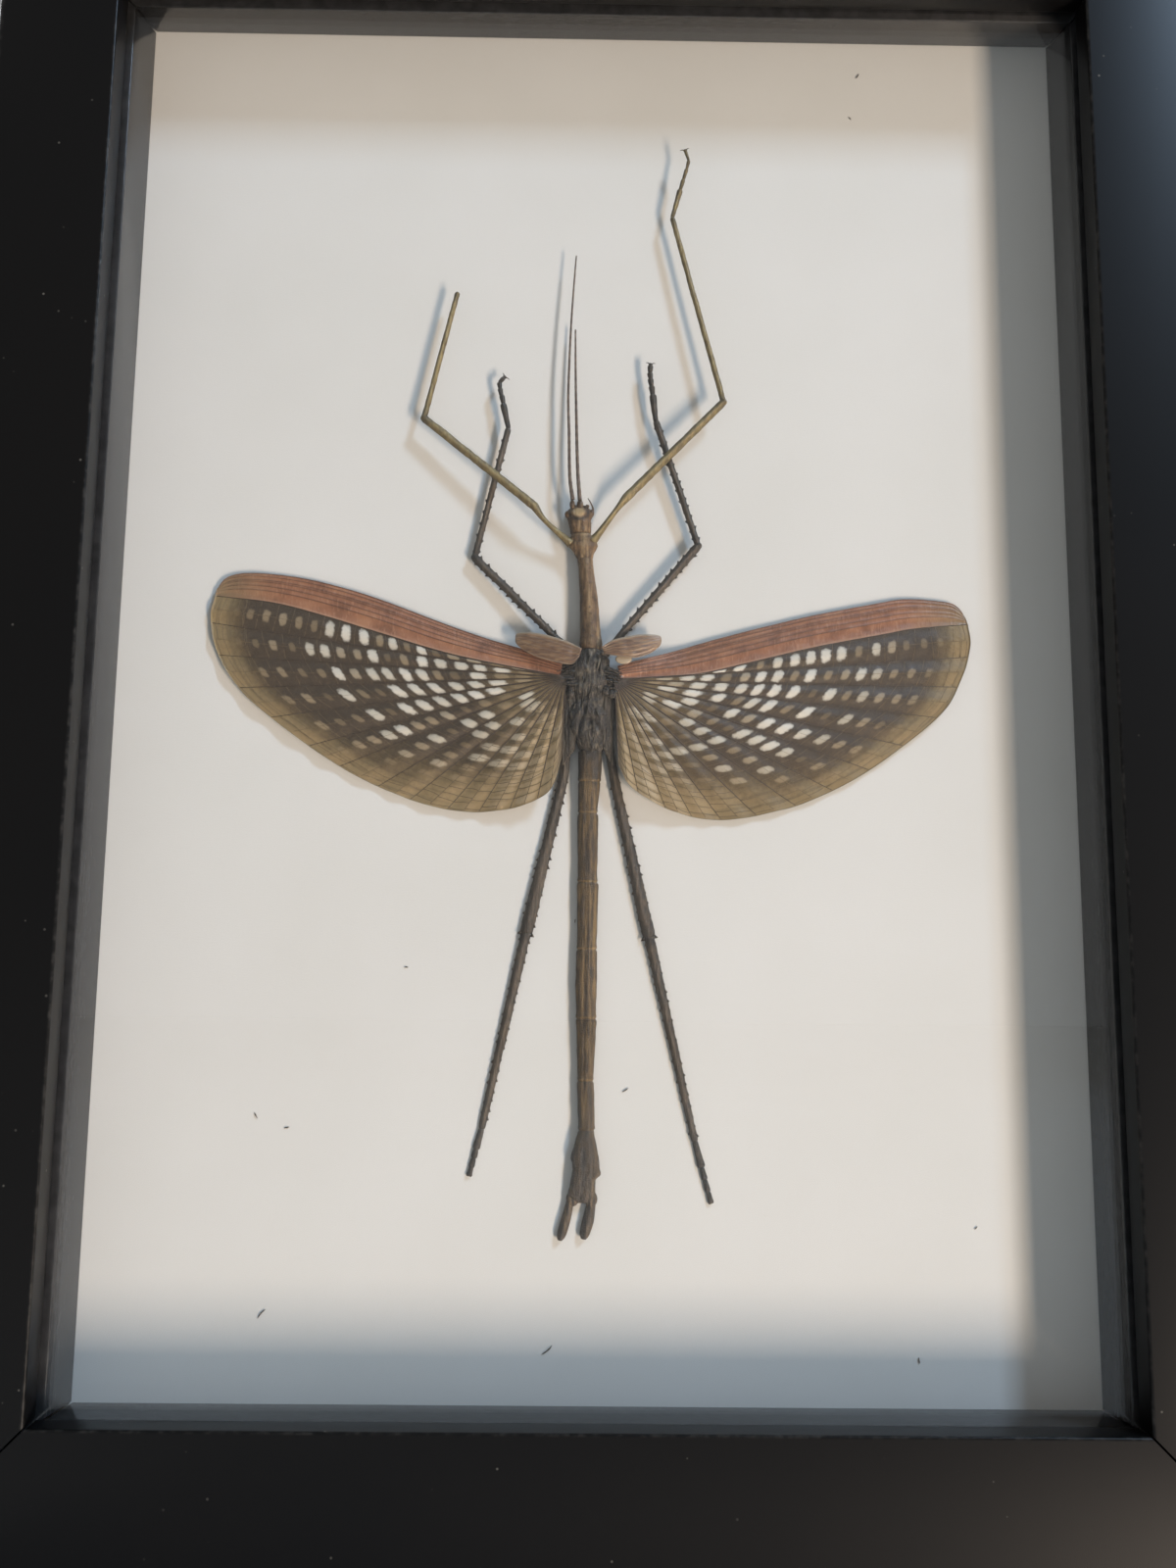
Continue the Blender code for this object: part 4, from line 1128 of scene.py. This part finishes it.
def add_tooth(piece, base, outward, along, length, dark):
    """A small thorn, leaning towards the foot."""
    wide = 0.42 * min(1.0, length / 0.25)
    rise = Vector((0, 0, 0.16))
    ring = [base - along * wide, base + rise, base + along * wide, base - rise]
    tip = base + outward * length + along * length * 0.6
    points = [place(*corner) for corner in ring] + [place(*tip)]
    piece.add(points, [(0, 1, 4), (1, 2, 4), (2, 3, 4), (3, 0, 4), (3, 2, 1, 0)], dark=dark)


def add_teeth(piece, start, end, radii, teeth, rng, dark):
    """Two rows of thorns, one on each side of a segment."""
    run = end - start
    along = run.normalized()
    outward = sideways(along)
    spacing, length = teeth
    for side in (-1, 1):
        at = spacing * rng.uniform(0.3, 0.8)
        while at < run.length - 0.8:
            width = radii[0] + (radii[1] - radii[0]) * at / run.length
            base = start + along * at + outward * side * width * 0.92
            add_tooth(piece, base, outward * side, along, length * rng.uniform(0.6, 1.25), dark)
            at += spacing * rng.uniform(0.75, 1.25)


def add_foot(piece, knots, toes, claws, shadow, flat):
    """Short toe joints between the ankle and the claws, then the claws and the pad."""
    spots = [Vector(knot[:3]) for knot in knots]
    shares = [0.0] + [0.42 + 0.58 * i / (toes - 1) for i in range(toes)] if toes > 1 else [0.0, 1.0]
    for share, following in zip(shares, shares[1:]):
        start = smooth_curve(spots, share)
        end = smooth_curve(spots, following)
        width = knots[0][3] + (knots[-1][3] - knots[0][3]) * share
        limb_segment(piece, start, end, (width * 0.8, width * 1.12), dark_ends=(shadow, shadow - 0.2),
                     seed=share * 9, step=0.15, flat=flat)
    if not claws:
        return
    end = spots[-1]
    along = (spots[-1] - spots[-2]).normalized()
    across = sideways(along)
    for side in (-1, 1):
        middle = end + along * 0.4 + across * side * 0.4
        tip = end + along * 0.5 + across * side * 0.75 - Vector((0, 0, 0.2))
        piece.add(*tube(curve((end, middle, tip), 6), [0.14 - 0.017 * i for i in range(7)], 6), dark=0.8)
    piece.add(*blob(end + along * 0.15, (0.3, 0.28, 0.25)), dark=0.7)


def build_leg(name, looks):
    knots, thick_from, toes, teeth = LEGS[name]
    rng = random.Random(SEED + len(name) * 3 + knots[1][1] * 10)
    piece = Piece(name, "pale", "dark")
    spots = [Vector(knot[:3]) for knot in knots]
    knee = thick_from + 1
    ankle = knee + 1
    fore = name.startswith("fore")
    hind = name.startswith("hind")
    flat = HIND_LEG_FLATNESS if hind else 1.0
    lead = curve(knots[:thick_from + 1], 24)
    upper = (knots[thick_from][3], knots[knee][3])
    lower = (knots[knee][3] * 0.75, knots[ankle][3])
    limb_segment(piece, spots[thick_from], spots[knee], upper, (0.0, 0.55), 1.0, lead=lead, flat=flat)
    limb_segment(piece, spots[knee], spots[ankle], lower, (0.6, 0.5), 2.0, flat=flat)
    shadow = 0.3 if fore else 0.5
    add_teeth(piece, spots[thick_from], spots[knee], upper, teeth, rng, shadow)
    add_teeth(piece, spots[knee], spots[ankle], lower, (teeth[0], teeth[1] * 0.75), rng, shadow)
    size = knots[knee][3] * (0.8 if hind else 1.02)
    piece.add(*blob(spots[knee], (size, size, size * flat)), dark=0.65)
    if hind:
        along = (spots[knee] - spots[thick_from]).normalized()
        outward = sideways(along)
        for side in (-1, 1):
            base = spots[knee] + outward * side * size * 1.05
            add_tooth(piece, base, outward * side, along, KNEE_SPUR, 0.7)
    if toes:
        add_foot(piece, knots[ankle:], toes, not hind, 0.5 if fore else 0.8, flat)
    return piece.make(looks, [name])


def build_antenna(side, looks):
    """A thin whip of many short rings."""
    knots = ANTENNAE[side]
    path = []
    radii = []
    dark = []
    for u, v, h, radius in curve(knots, 420):
        path.append(Vector((u, v, h)))
        beat = (v - knots[0][1]) / ANTENNA_RING_PITCH
        ring = abs(beat - round(beat)) * 2
        radii.append(radius * (0.94 + 0.08 * (1 - ring) ** 3))
        dark.append(0.45 * (1 - ring) ** 2)
    piece = Piece("antenna_" + side, "pale", "dark")
    piece.add(*tube(path, radii, 8), dark=[value for value in dark for _ in range(8)])
    return piece.make(looks, ["antenna_" + side])


# Wings

class WingPlan:
    """Where a point of the wing lies, from its column across the wing and its share of the way out."""

    def __init__(self, side):
        shape = WINGS[side]
        self.shape = shape
        self.root = Vector(shape["root"])
        edge = [point - self.root for point in curve(shape["margin"], 300)]
        self.edge = [(self.slope(point), point.length) for point in edge]
        self.slopes = list(shape["veins"]) + [self.edge[-1][0]]
        self.sectors = len(self.slopes)

    def slope(self, point):
        """How far below the horizontal a direction points, in degrees, outward being 0."""
        return math.degrees(math.atan2(-point.y, point.x * self.shape["outward"]))

    def reach(self, slope):
        """How far the margin is from the root along a slope."""
        for (a, near), (b, far) in zip(self.edge, self.edge[1:]):
            if a <= slope <= b:
                return near + (far - near) * (slope - a) / max(1e-6, b - a)
        return self.edge[0][1] if slope < self.edge[0][0] else self.edge[-1][1]

    def ray(self, slope, share):
        turn = math.radians(slope)
        heading = Vector((self.shape["outward"] * math.cos(turn), -math.sin(turn)))
        return self.root + heading * self.reach(slope) * share

    def flat(self, sector, across, share):
        """The point's u and v. Sector -1 is the front strip."""
        rear = self.shape["strip_rear"]
        if sector < 0:
            return smooth_curve(rear, share).lerp(smooth_curve(self.shape["leading"], share), across)
        if sector == 0:
            tip = smooth_curve(rear, 1.0).lerp(self.ray(self.slopes[0], 1.0), across)
            point = smooth_curve(rear, share).lerp(self.ray(self.slopes[0], share), across)
            grow = self.reach(self.slope(tip - self.root)) / (tip - self.root).length - 1
            return self.root + (point - self.root) * (1 + grow * share ** 3)
        start, end = self.slopes[sector - 1], self.slopes[sector]
        return self.ray(start + (end - start) * across, share)

    def lift(self, sector, across, share, point):
        """The membrane's height: it slopes to the board, with pleats, ribs and wrinkles."""
        out = abs(point.x - self.root.x)
        back = max(0.0, self.root.y - point.y)
        drop = (out / WING_REACH) ** WING_DROOP + (back / WING_DEPTH) ** 2 * min(1.0, out / WING_RAISED_W)
        base = WING_ROOT_HEIGHT + (WING_TIP_HEIGHT - WING_ROOT_HEIGHT) * min(1.0, drop)
        if sector < 0:
            ribs = sum(bell(across, at, 0.03) for at in STRIP_VEINS)
            fold = 0.07 * ribs - 0.1 * bell(across, 0.2, 0.12)
            fold -= STRIP_TIP * (base - WING_TIP_HEIGHT) * across ** 1.5 * ease(out, 2.0, 12.0)
        else:
            wave = 0.5 - 0.5 * math.cos(2 * math.pi * across)
            fold = PLEAT_HEIGHT * min(1.0, share * 1.6) * wave
        swell = 0.12 * rough(point.x, point.y, 0, 0.11, 4) * ease(share, 0.1, 0.5)
        wrinkle = 0.05 * rough(point.x, point.y, 0, 0.9, 8) + 0.02 * rough(point.x, point.y, 0, 2.4, 5)
        return base + fold + swell + wrinkle

    def at(self, sector, across, share, above=0.0):
        point = self.flat(sector, across, share)
        return Vector((point.x, point.y, self.lift(sector, across, share, point) + above))


def cell_walls(plan, sector, rng):
    """How far out each cross vein of a sector stands, and how strong the pale window before it is."""
    fan = sector / plan.sectors
    reach = plan.reach(plan.slopes[sector])
    at = 4.0 + 2.0 * rng.random()
    walls = [(at, 0.0)]
    while at < reach - 0.4:
        share = at / reach
        outer = 0.92 - 0.24 * ease(fan, 0.35, 0.85)
        size = 2.5 - 0.8 * ease(share, outer - 0.06, outer + 0.04)
        size += 0.9 * ease(share, 0.42, 0.2)
        size *= 1 - 0.35 * ease(fan, 0.6, 0.85)
        at += size * rng.uniform(0.8, 1.22)
        draw = rng.random()
        strength = 0.12
        if draw < WEAK_CELLS:
            strength = rng.uniform(0.85, 1.0) if draw < STRONG_CELLS else rng.uniform(0.3, 0.6)
        strength *= ease(share, outer + 0.03, outer - 0.1) * ease(share, 0.04, 0.14)
        strength *= (1 - 0.5 * ease(share, 0.66, 0.78)) * (1 - 0.3 * ease(fan, 0.35, 0.6))
        strength += (rng.uniform(0.35, 0.55) - strength) * ease(fan, 0.6, 0.85)
        walls.append((at, strength))
    return walls


def add_membrane(piece, plan, columns, shares, walls, kind):
    """The upper and lower faces of the fan or of the strip, with the numbers for their colours."""
    width = len(shares)
    below = len(columns) * width
    faces = []
    corners = {name: [] for name in WING_VALUES}
    for j, (sector, across) in enumerate(columns[:-1]):
        if (sector < 0) != (kind == STRIP):
            continue
        following = columns[j + 1][1] if columns[j + 1][0] == sector else float(sector >= 0)
        for i in range(RINGS):
            quad = ((j, i), (j, i + 1), (j + 1, i + 1), (j + 1, i))[::-plan.shape["outward"]]
            numbers = [wing_numbers(plan, sector, following if c > j else across, shares[r],
                                    (i + 0.5) / RINGS, walls) for c, r in quad]
            top = [c * width + r for c, r in quad]
            faces += [tuple(top), tuple(below + k for k in reversed(top))]
            for name, store in zip(WING_VALUES, zip(*(numbers + numbers[::-1]))):
                corners[name].extend(store)
    piece.add([], faces, kind, corners, first=0)


def build_hind_wing(side, looks):
    """The front strip and the fan in one thin closed sheet, with raised veins."""
    plan = WingPlan(side)
    outward = plan.shape["outward"]
    rng = random.Random(SEED + 20 + outward)
    walls = [cell_walls(plan, sector, rng) for sector in range(plan.sectors)]
    shares = [FIRST_RING + (1 - FIRST_RING) * i / RINGS for i in range(RINGS + 1)]
    columns = [(-1, 1 - i / STRIP_COLUMNS) for i in range(STRIP_COLUMNS)]
    for sector in range(plan.sectors):
        columns += [(sector, i / FAN_COLUMNS) for i in range(FAN_COLUMNS)]
    columns.append((plan.sectors - 1, 1.0))
    spots = [plan.at(sector, across, share) for sector, across in columns for share in shares]
    layer = Vector((0, 0, MEMBRANE))
    piece = Piece("hind_wing_" + side, *WING_VALUES)
    piece.points = [place(*(spot + layer)) for spot in spots] + [place(*(spot - layer)) for spot in spots]
    for kind in (FAN, STRIP):
        add_membrane(piece, plan, columns, shares, walls, kind)
    piece.add([], rim_walls(len(columns), len(shares), outward > 0), VEIN, first=0)
    add_veins(piece, plan, walls, rng)
    return piece.make(looks, ["hind_wing_" + side])


def strip_numbers(across, share):
    """The same numbers on the front strip, where bar darkens its veins and the strength its rear edge."""
    line = sum(bell(across, at, 0.016) for at in STRIP_VEINS) + 0.8 * ease(across, 0.95, 1.0)
    fade = ease(share, 1.0, 0.75)
    rear = 0.7 * bell(across, 0.04, 0.035) * fade
    return (0.0, 0.0, rear, ease(share, 0.78, 1.05), min(1.0, line) * (0.3 + 0.35 * fade), 0.0)


def wing_numbers(plan, sector, across, share, middle_share, walls):
    """Numbers for the membrane's colours at one corner: window place and strength, tan, bar and dark."""
    if sector < 0:
        return strip_numbers(across, share)
    fan = (sector + across) / plan.sectors
    reach = plan.reach(plan.slopes[sector])
    far = share * reach
    middle = middle_share * reach
    k = 1
    marks = walls[sector]
    while k < len(marks) - 1 and middle > marks[k][0]:
        k += 1
    start, end = marks[k - 1][0], marks[k][0]
    strength = marks[k][1]
    lower = ease(fan, 0.52, 0.8)
    length = end - start
    longest = 0.38 + 0.3 * strength + 0.45 * ease(share, 0.42, 0.2)
    half_length = min((0.3 + 0.06 * lower) * length, longest)
    along = (far - start - length / 2) / half_length
    before = plan.slopes[sector - 1] if sector else plan.edge[0][0]
    width = max(0.2, math.radians(plan.slopes[sector] - before) * far)
    half_width = min((0.36 + 0.08 * lower) * width, 0.5 + 0.36 * strength + 0.4 * lower)
    off = (across - 0.5) * width / half_width
    rim = (1 - share) * reach
    tan = max(ease(rim, 6.5, 0.8), 0.85 * ease(fan, 0.5, 0.92) * ease(share, 0.1, 0.35),
              ease(fan, 0.3, 0.7) * ease(rim, 12.0, 2.0))
    tan = max(tan * ease(share, 0.05, 0.3), 0.5 * ease(far, 16.0, 7.0))
    bar = bell((far - start) / length, 0.0, 0.1) + bell((far - start) / length, 1.0, 0.1)
    bar *= 0.6 * ease(share, 0.3, 0.6) * (1 - 0.6 * lower)
    dark = ease(share, 0.09, 0.03) * 0.6 + 0.7 * ease(fan, 0.955, 1.0)
    return (off, along, strength, tan, min(1.0, bar), min(1.0, dark))


def add_vein(piece, plan, sector, across, shares, radii, count=90, sides=6, kind=VEIN, **values):
    """A tapered vein outwards between two shares of the way, with a radius at each end."""
    (start, end), (thick, thin) = shares, radii
    steps = [start + (end - start) * i / count for i in range(count + 1)]
    path = [plan.at(sector, across, share, VEIN_LIFT) for share in steps]
    widths = [thick + (thin - thick) * i / count for i in range(count + 1)]
    piece.add(*tube(path, widths, sides), kind, **values)


def add_cross_vein(piece, plan, sector, near, far, at, swing, radius, dark, rng):
    """A thin vein across a sector, tilted and bowed by up to the two lengths of its swing."""
    reach = plan.reach(plan.slopes[sector])
    tilt, bow = [rng.uniform(-most, most) for most in swing]
    path = []
    for step in range(7):
        t = step / 6
        out = at + tilt * (t - 0.5) + bow * 4 * t * (1 - t)
        path.append(plan.at(sector, near + (far - near) * t, min(0.99, out / reach), VEIN_LIFT))
    piece.add(*tube(path, [radius] * 7, 5), FAN, tan=0.5, dark=dark)


def add_veins(piece, plan, walls, rng):
    """Main veins between the sectors, weaker ones in the outer third, cross veins and the ribs."""
    add_vein(piece, plan, 0, 0.0, (FIRST_RING, 0.995), (0.14, 0.06))
    add_vein(piece, plan, -1, 0.985, (FIRST_RING, 0.99), (0.12, 0.06), kind=STRIP, bar=0.7)
    for across in STRIP_VEINS:
        add_vein(piece, plan, -1, across, (FIRST_RING, 0.96), (0.06, 0.03), kind=STRIP, bar=0.7)
    for sector, marks in enumerate(walls):
        reach = plan.reach(plan.slopes[sector])
        low = sector / plan.sectors > NET_FROM
        add_vein(piece, plan, sector, 1.0, (FIRST_RING, 0.995), (0.13, 0.055))
        add_vein(piece, plan, sector, 0.5, (0.25 if low else 0.68, 0.985), (0.02, 0.045), 60, 5, kind=FAN,
                 tan=0.5, dark=0.6 if low else 0.2)
        for at, _ in [] if low else marks[:-1]:
            add_cross_vein(piece, plan, sector, 0.0, 1.0, at, (0.5, 0.3), 0.03, 0.15, rng)
        for near in (0.0, 0.5):
            at = rng.uniform(4.0, 5.0) if low else reach - NET_RIM
            while at < reach - 0.3:
                add_cross_vein(piece, plan, sector, near, near + 0.5, at, (0.3, 0.15), 0.04,
                               0.8 if low else 0.3, rng)
                at += NET_PITCH * rng.uniform(0.75, 1.3)


def fore_wing_spot(side, share, across):
    """A point of the crowned leaf, at a share of its length from the tip and a share of its width."""
    upper_edge, lower_edge = FORE_WINGS[side]
    point = smooth_curve(lower_edge, share).lerp(smooth_curve(upper_edge, share), across)
    along = math.sin(math.pi * min(1.0, share + 0.15)) ** 0.5
    crown = FORE_WING_CROWN * (1 - (2 * across - 1) ** 2) * along
    veins = 0.05 * math.cos(across * FORE_WING_VEINS) * ease(share, 0.0, 0.3)
    droop = FORE_WING_DROOP * (1 - share) ** 2
    dents = 0.08 * rough(point.x, point.y, 0, 0.8, 6)
    return Vector((point.x, point.y, FORE_WING_HEIGHT - droop + crown + veins + dents))


def build_fore_wing(side, looks):
    """A small crowned leaf over the wing root, with raised veins along it."""
    outward = WINGS[side]["outward"]
    rows = 47
    columns = 31
    shares = [0.012 + 0.988 * i / (rows - 1) for i in range(rows)]
    grid = [(share, j / (columns - 1)) for share in shares for j in range(columns)]
    points = []
    for level in (FORE_WING_THICKNESS, -FORE_WING_THICKNESS):
        points += [place(*(fore_wing_spot(side, *where) + Vector((0, 0, level)))) for where in grid]
    pale = []
    dark = []
    for share, across in grid * 2:
        rims = 0.85 * ease(across, 0.87, 0.95) + 0.5 * ease(share, 0.22, 0.0)
        pale.append(min(1.0, rims + 0.4 * ease(across, 0.08, 0.0)))
        vein = 0.5 * ease(math.cos(across * FORE_WING_VEINS), 0.75, 1.0) + 0.6 * ease(share, 0.8, 1.0)
        dark.append(min(1.0, vein * 0.6))
    faces = []
    for i in range(rows - 1):
        for j in range(columns - 1):
            a = i * columns + j
            quad = (a, a + 1, a + columns + 1, a + columns)[::-outward]
            faces += [quad[::-1], tuple(len(grid) + k for k in quad)]
    faces += rim_walls(rows, columns, outward > 0)
    piece = Piece("fore_wing_" + side, "pale", "dark")
    piece.add(points, faces, pale=pale, dark=dark)
    if side == "right":
        piece.add(*blob(FLAP_PLACE, FLAP_SIZE), pale=1.0)
    return piece.make(looks, ["fore_wing_" + side])


def build_insect():
    thorax = cuticle_look("thorax_cuticle", "4a3622", "684f34", "806444", "b59a70", 1.8, 0.5)
    body = cuticle_look("body_cuticle", "261d13", "3d301f", "55432a", "927547", 1.8, 0.45)
    raw = cuticle_look("torn_cuticle", "1d1813", "332b22", "483e33", "8c826f", 2.2, 0.6)
    olive = cuticle_look("olive_leg", "665634", "827146", "988554", "b0a077", 2.0, 0.45)
    dark_leg = cuticle_look("dark_leg", "29231b", "41382c", "584b3b", "77695a", 2.4, 0.5)
    whip = cuticle_look("antenna_cuticle", "54453a", "6a594b", "7f6c5b", "968571", 3.0, 0.5)
    eye = plain_look("eye", "3a2a1c", "6b5036", 0.3, 3.0)
    body_part("head", HEAD, head_relief, head_marks_and_painted_light, [thorax, eye], extra=head_extras)
    body_part("prothorax", PROTHORAX, prothorax_relief, prothorax_marks_and_painted_light, [thorax])
    body_part("mesothorax", MESOTHORAX, mesothorax_relief, mesothorax_marks_and_painted_light, [thorax])
    body_part("metathorax", METATHORAX, metathorax_relief, metathorax_marks_and_painted_light, [raw],
              sides=72, step=0.11, extra=metathorax_extras, ragged=0.8)
    body_part("abdomen", ABDOMEN, abdomen_relief, abdomen_marks_and_painted_light, [body],
              extra=abdomen_extras)
    fan = fan_look()
    strip = strip_look()
    vein = plain_look("wing_vein", "33281e", "4a3b2c", 0.45, 2.0)
    tegmen = fore_wing_look()
    for side in ("left", "right"):
        build_cercus(side, [body])
        build_antenna(side, [whip])
        build_hind_wing(side, [fan, strip, vein])
        build_fore_wing(side, [tegmen])
    for name in LEGS:
        fore = name.startswith("fore")
        build_leg(name, [olive if fore else dark_leg])


def build_frame():
    build_bars(paint_look(), bar_look())
    glass = build_glass(glass_look())
    glass.visible_shadow = False
    glass.visible_diffuse = False
    for node, material in (("backing_board", board_look()), ("back_panel", fibreboard_look())):
        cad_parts[node].data.materials[0] = material
    steel = steel_look()
    for node in ("hanger", "tab_1", "tab_2", "tab_3", "tab_4"):
        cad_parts[node].data.materials[0] = steel
    build_debris(plain_look("debris", "3a342c", "6a6052", 0.8))


# Surroundings

def build_floor():
    look = Look("pale_floor", 0.7)
    look.colour(look.ramp(look.noise(0.01, 3), (0.3, "c9c7c2"), (0.7, "d2d0cb")))
    bpy.ops.mesh.primitive_plane_add(size=FLOOR_SIZE, location=(0, 0, FLOOR_HEIGHT))
    floor = bpy.context.object
    floor.name = "floor"
    floor.data.materials.append(look.material)
    floor.visible_shadow = False


def put(name, data, spot, turn):
    """A light or a camera in its place."""
    thing = bpy.data.objects.new(name, data)
    thing.location = spot
    thing.rotation_euler = turn
    bpy.context.scene.collection.objects.link(thing)
    return thing


def add_window(name, plan):
    """A soft box that faces the board, placed by its slopes."""
    data = bpy.data.lights.new(name, "AREA")
    data.shape = "RECTANGLE"
    data.size = plan["size"][0] * LIGHT_DISTANCE * MM
    data.size_y = plan["size"][1] * LIGHT_DISTANCE * MM
    data.energy = plan["power"]
    data.color = plan["colour"]
    right, up = [slope * LIGHT_DISTANCE for slope in plan["slope"]]
    put(name, data, Vector((right, BOARD_Y - LIGHT_DISTANCE, FRAME_H / 2 + up)) * MM, (math.pi / 2, 0, 0))


def add_back_light():
    data = bpy.data.lights.new("back_light", "AREA")
    data.size = BACK_LIGHT_SIZE
    data.energy = BACK_LIGHT_POWER
    aim = Vector(BACK_LIGHT_AIM) - Vector(BACK_LIGHT_PLACE)
    put("back_light", data, BACK_LIGHT_PLACE, aim.to_track_quat("-Z", "Y").to_euler())


def build_camera():
    data = bpy.data.cameras.new("camera")
    data.sensor_fit = "VERTICAL"
    data.sensor_height = CAMERA_SENSOR_HEIGHT
    data.lens = CAMERA_LENS
    data.clip_start = 0.005
    turn = Euler([math.radians(angle) for angle in CAMERA_TURN], "XYZ")
    bpy.context.scene.camera = put("camera", data, Vector(CAMERA_PLACE) * MM, turn)


def build_surroundings():
    build_camera()
    build_floor()
    add_window("warm_window", WARM_LIGHT)
    add_window("cool_window", COOL_LIGHT)
    add_back_light()
    world = bpy.data.worlds.new("world")
    world.use_nodes = True
    world.node_tree.nodes["Background"].inputs["Color"].default_value = (*SKY, 1.0)
    scene = bpy.context.scene
    scene.world = world
    scene.view_settings.view_transform = "Standard"
    scene.cycles.caustics_reflective = False
    scene.cycles.caustics_refractive = False


build_surroundings()
build_frame()
build_insect()
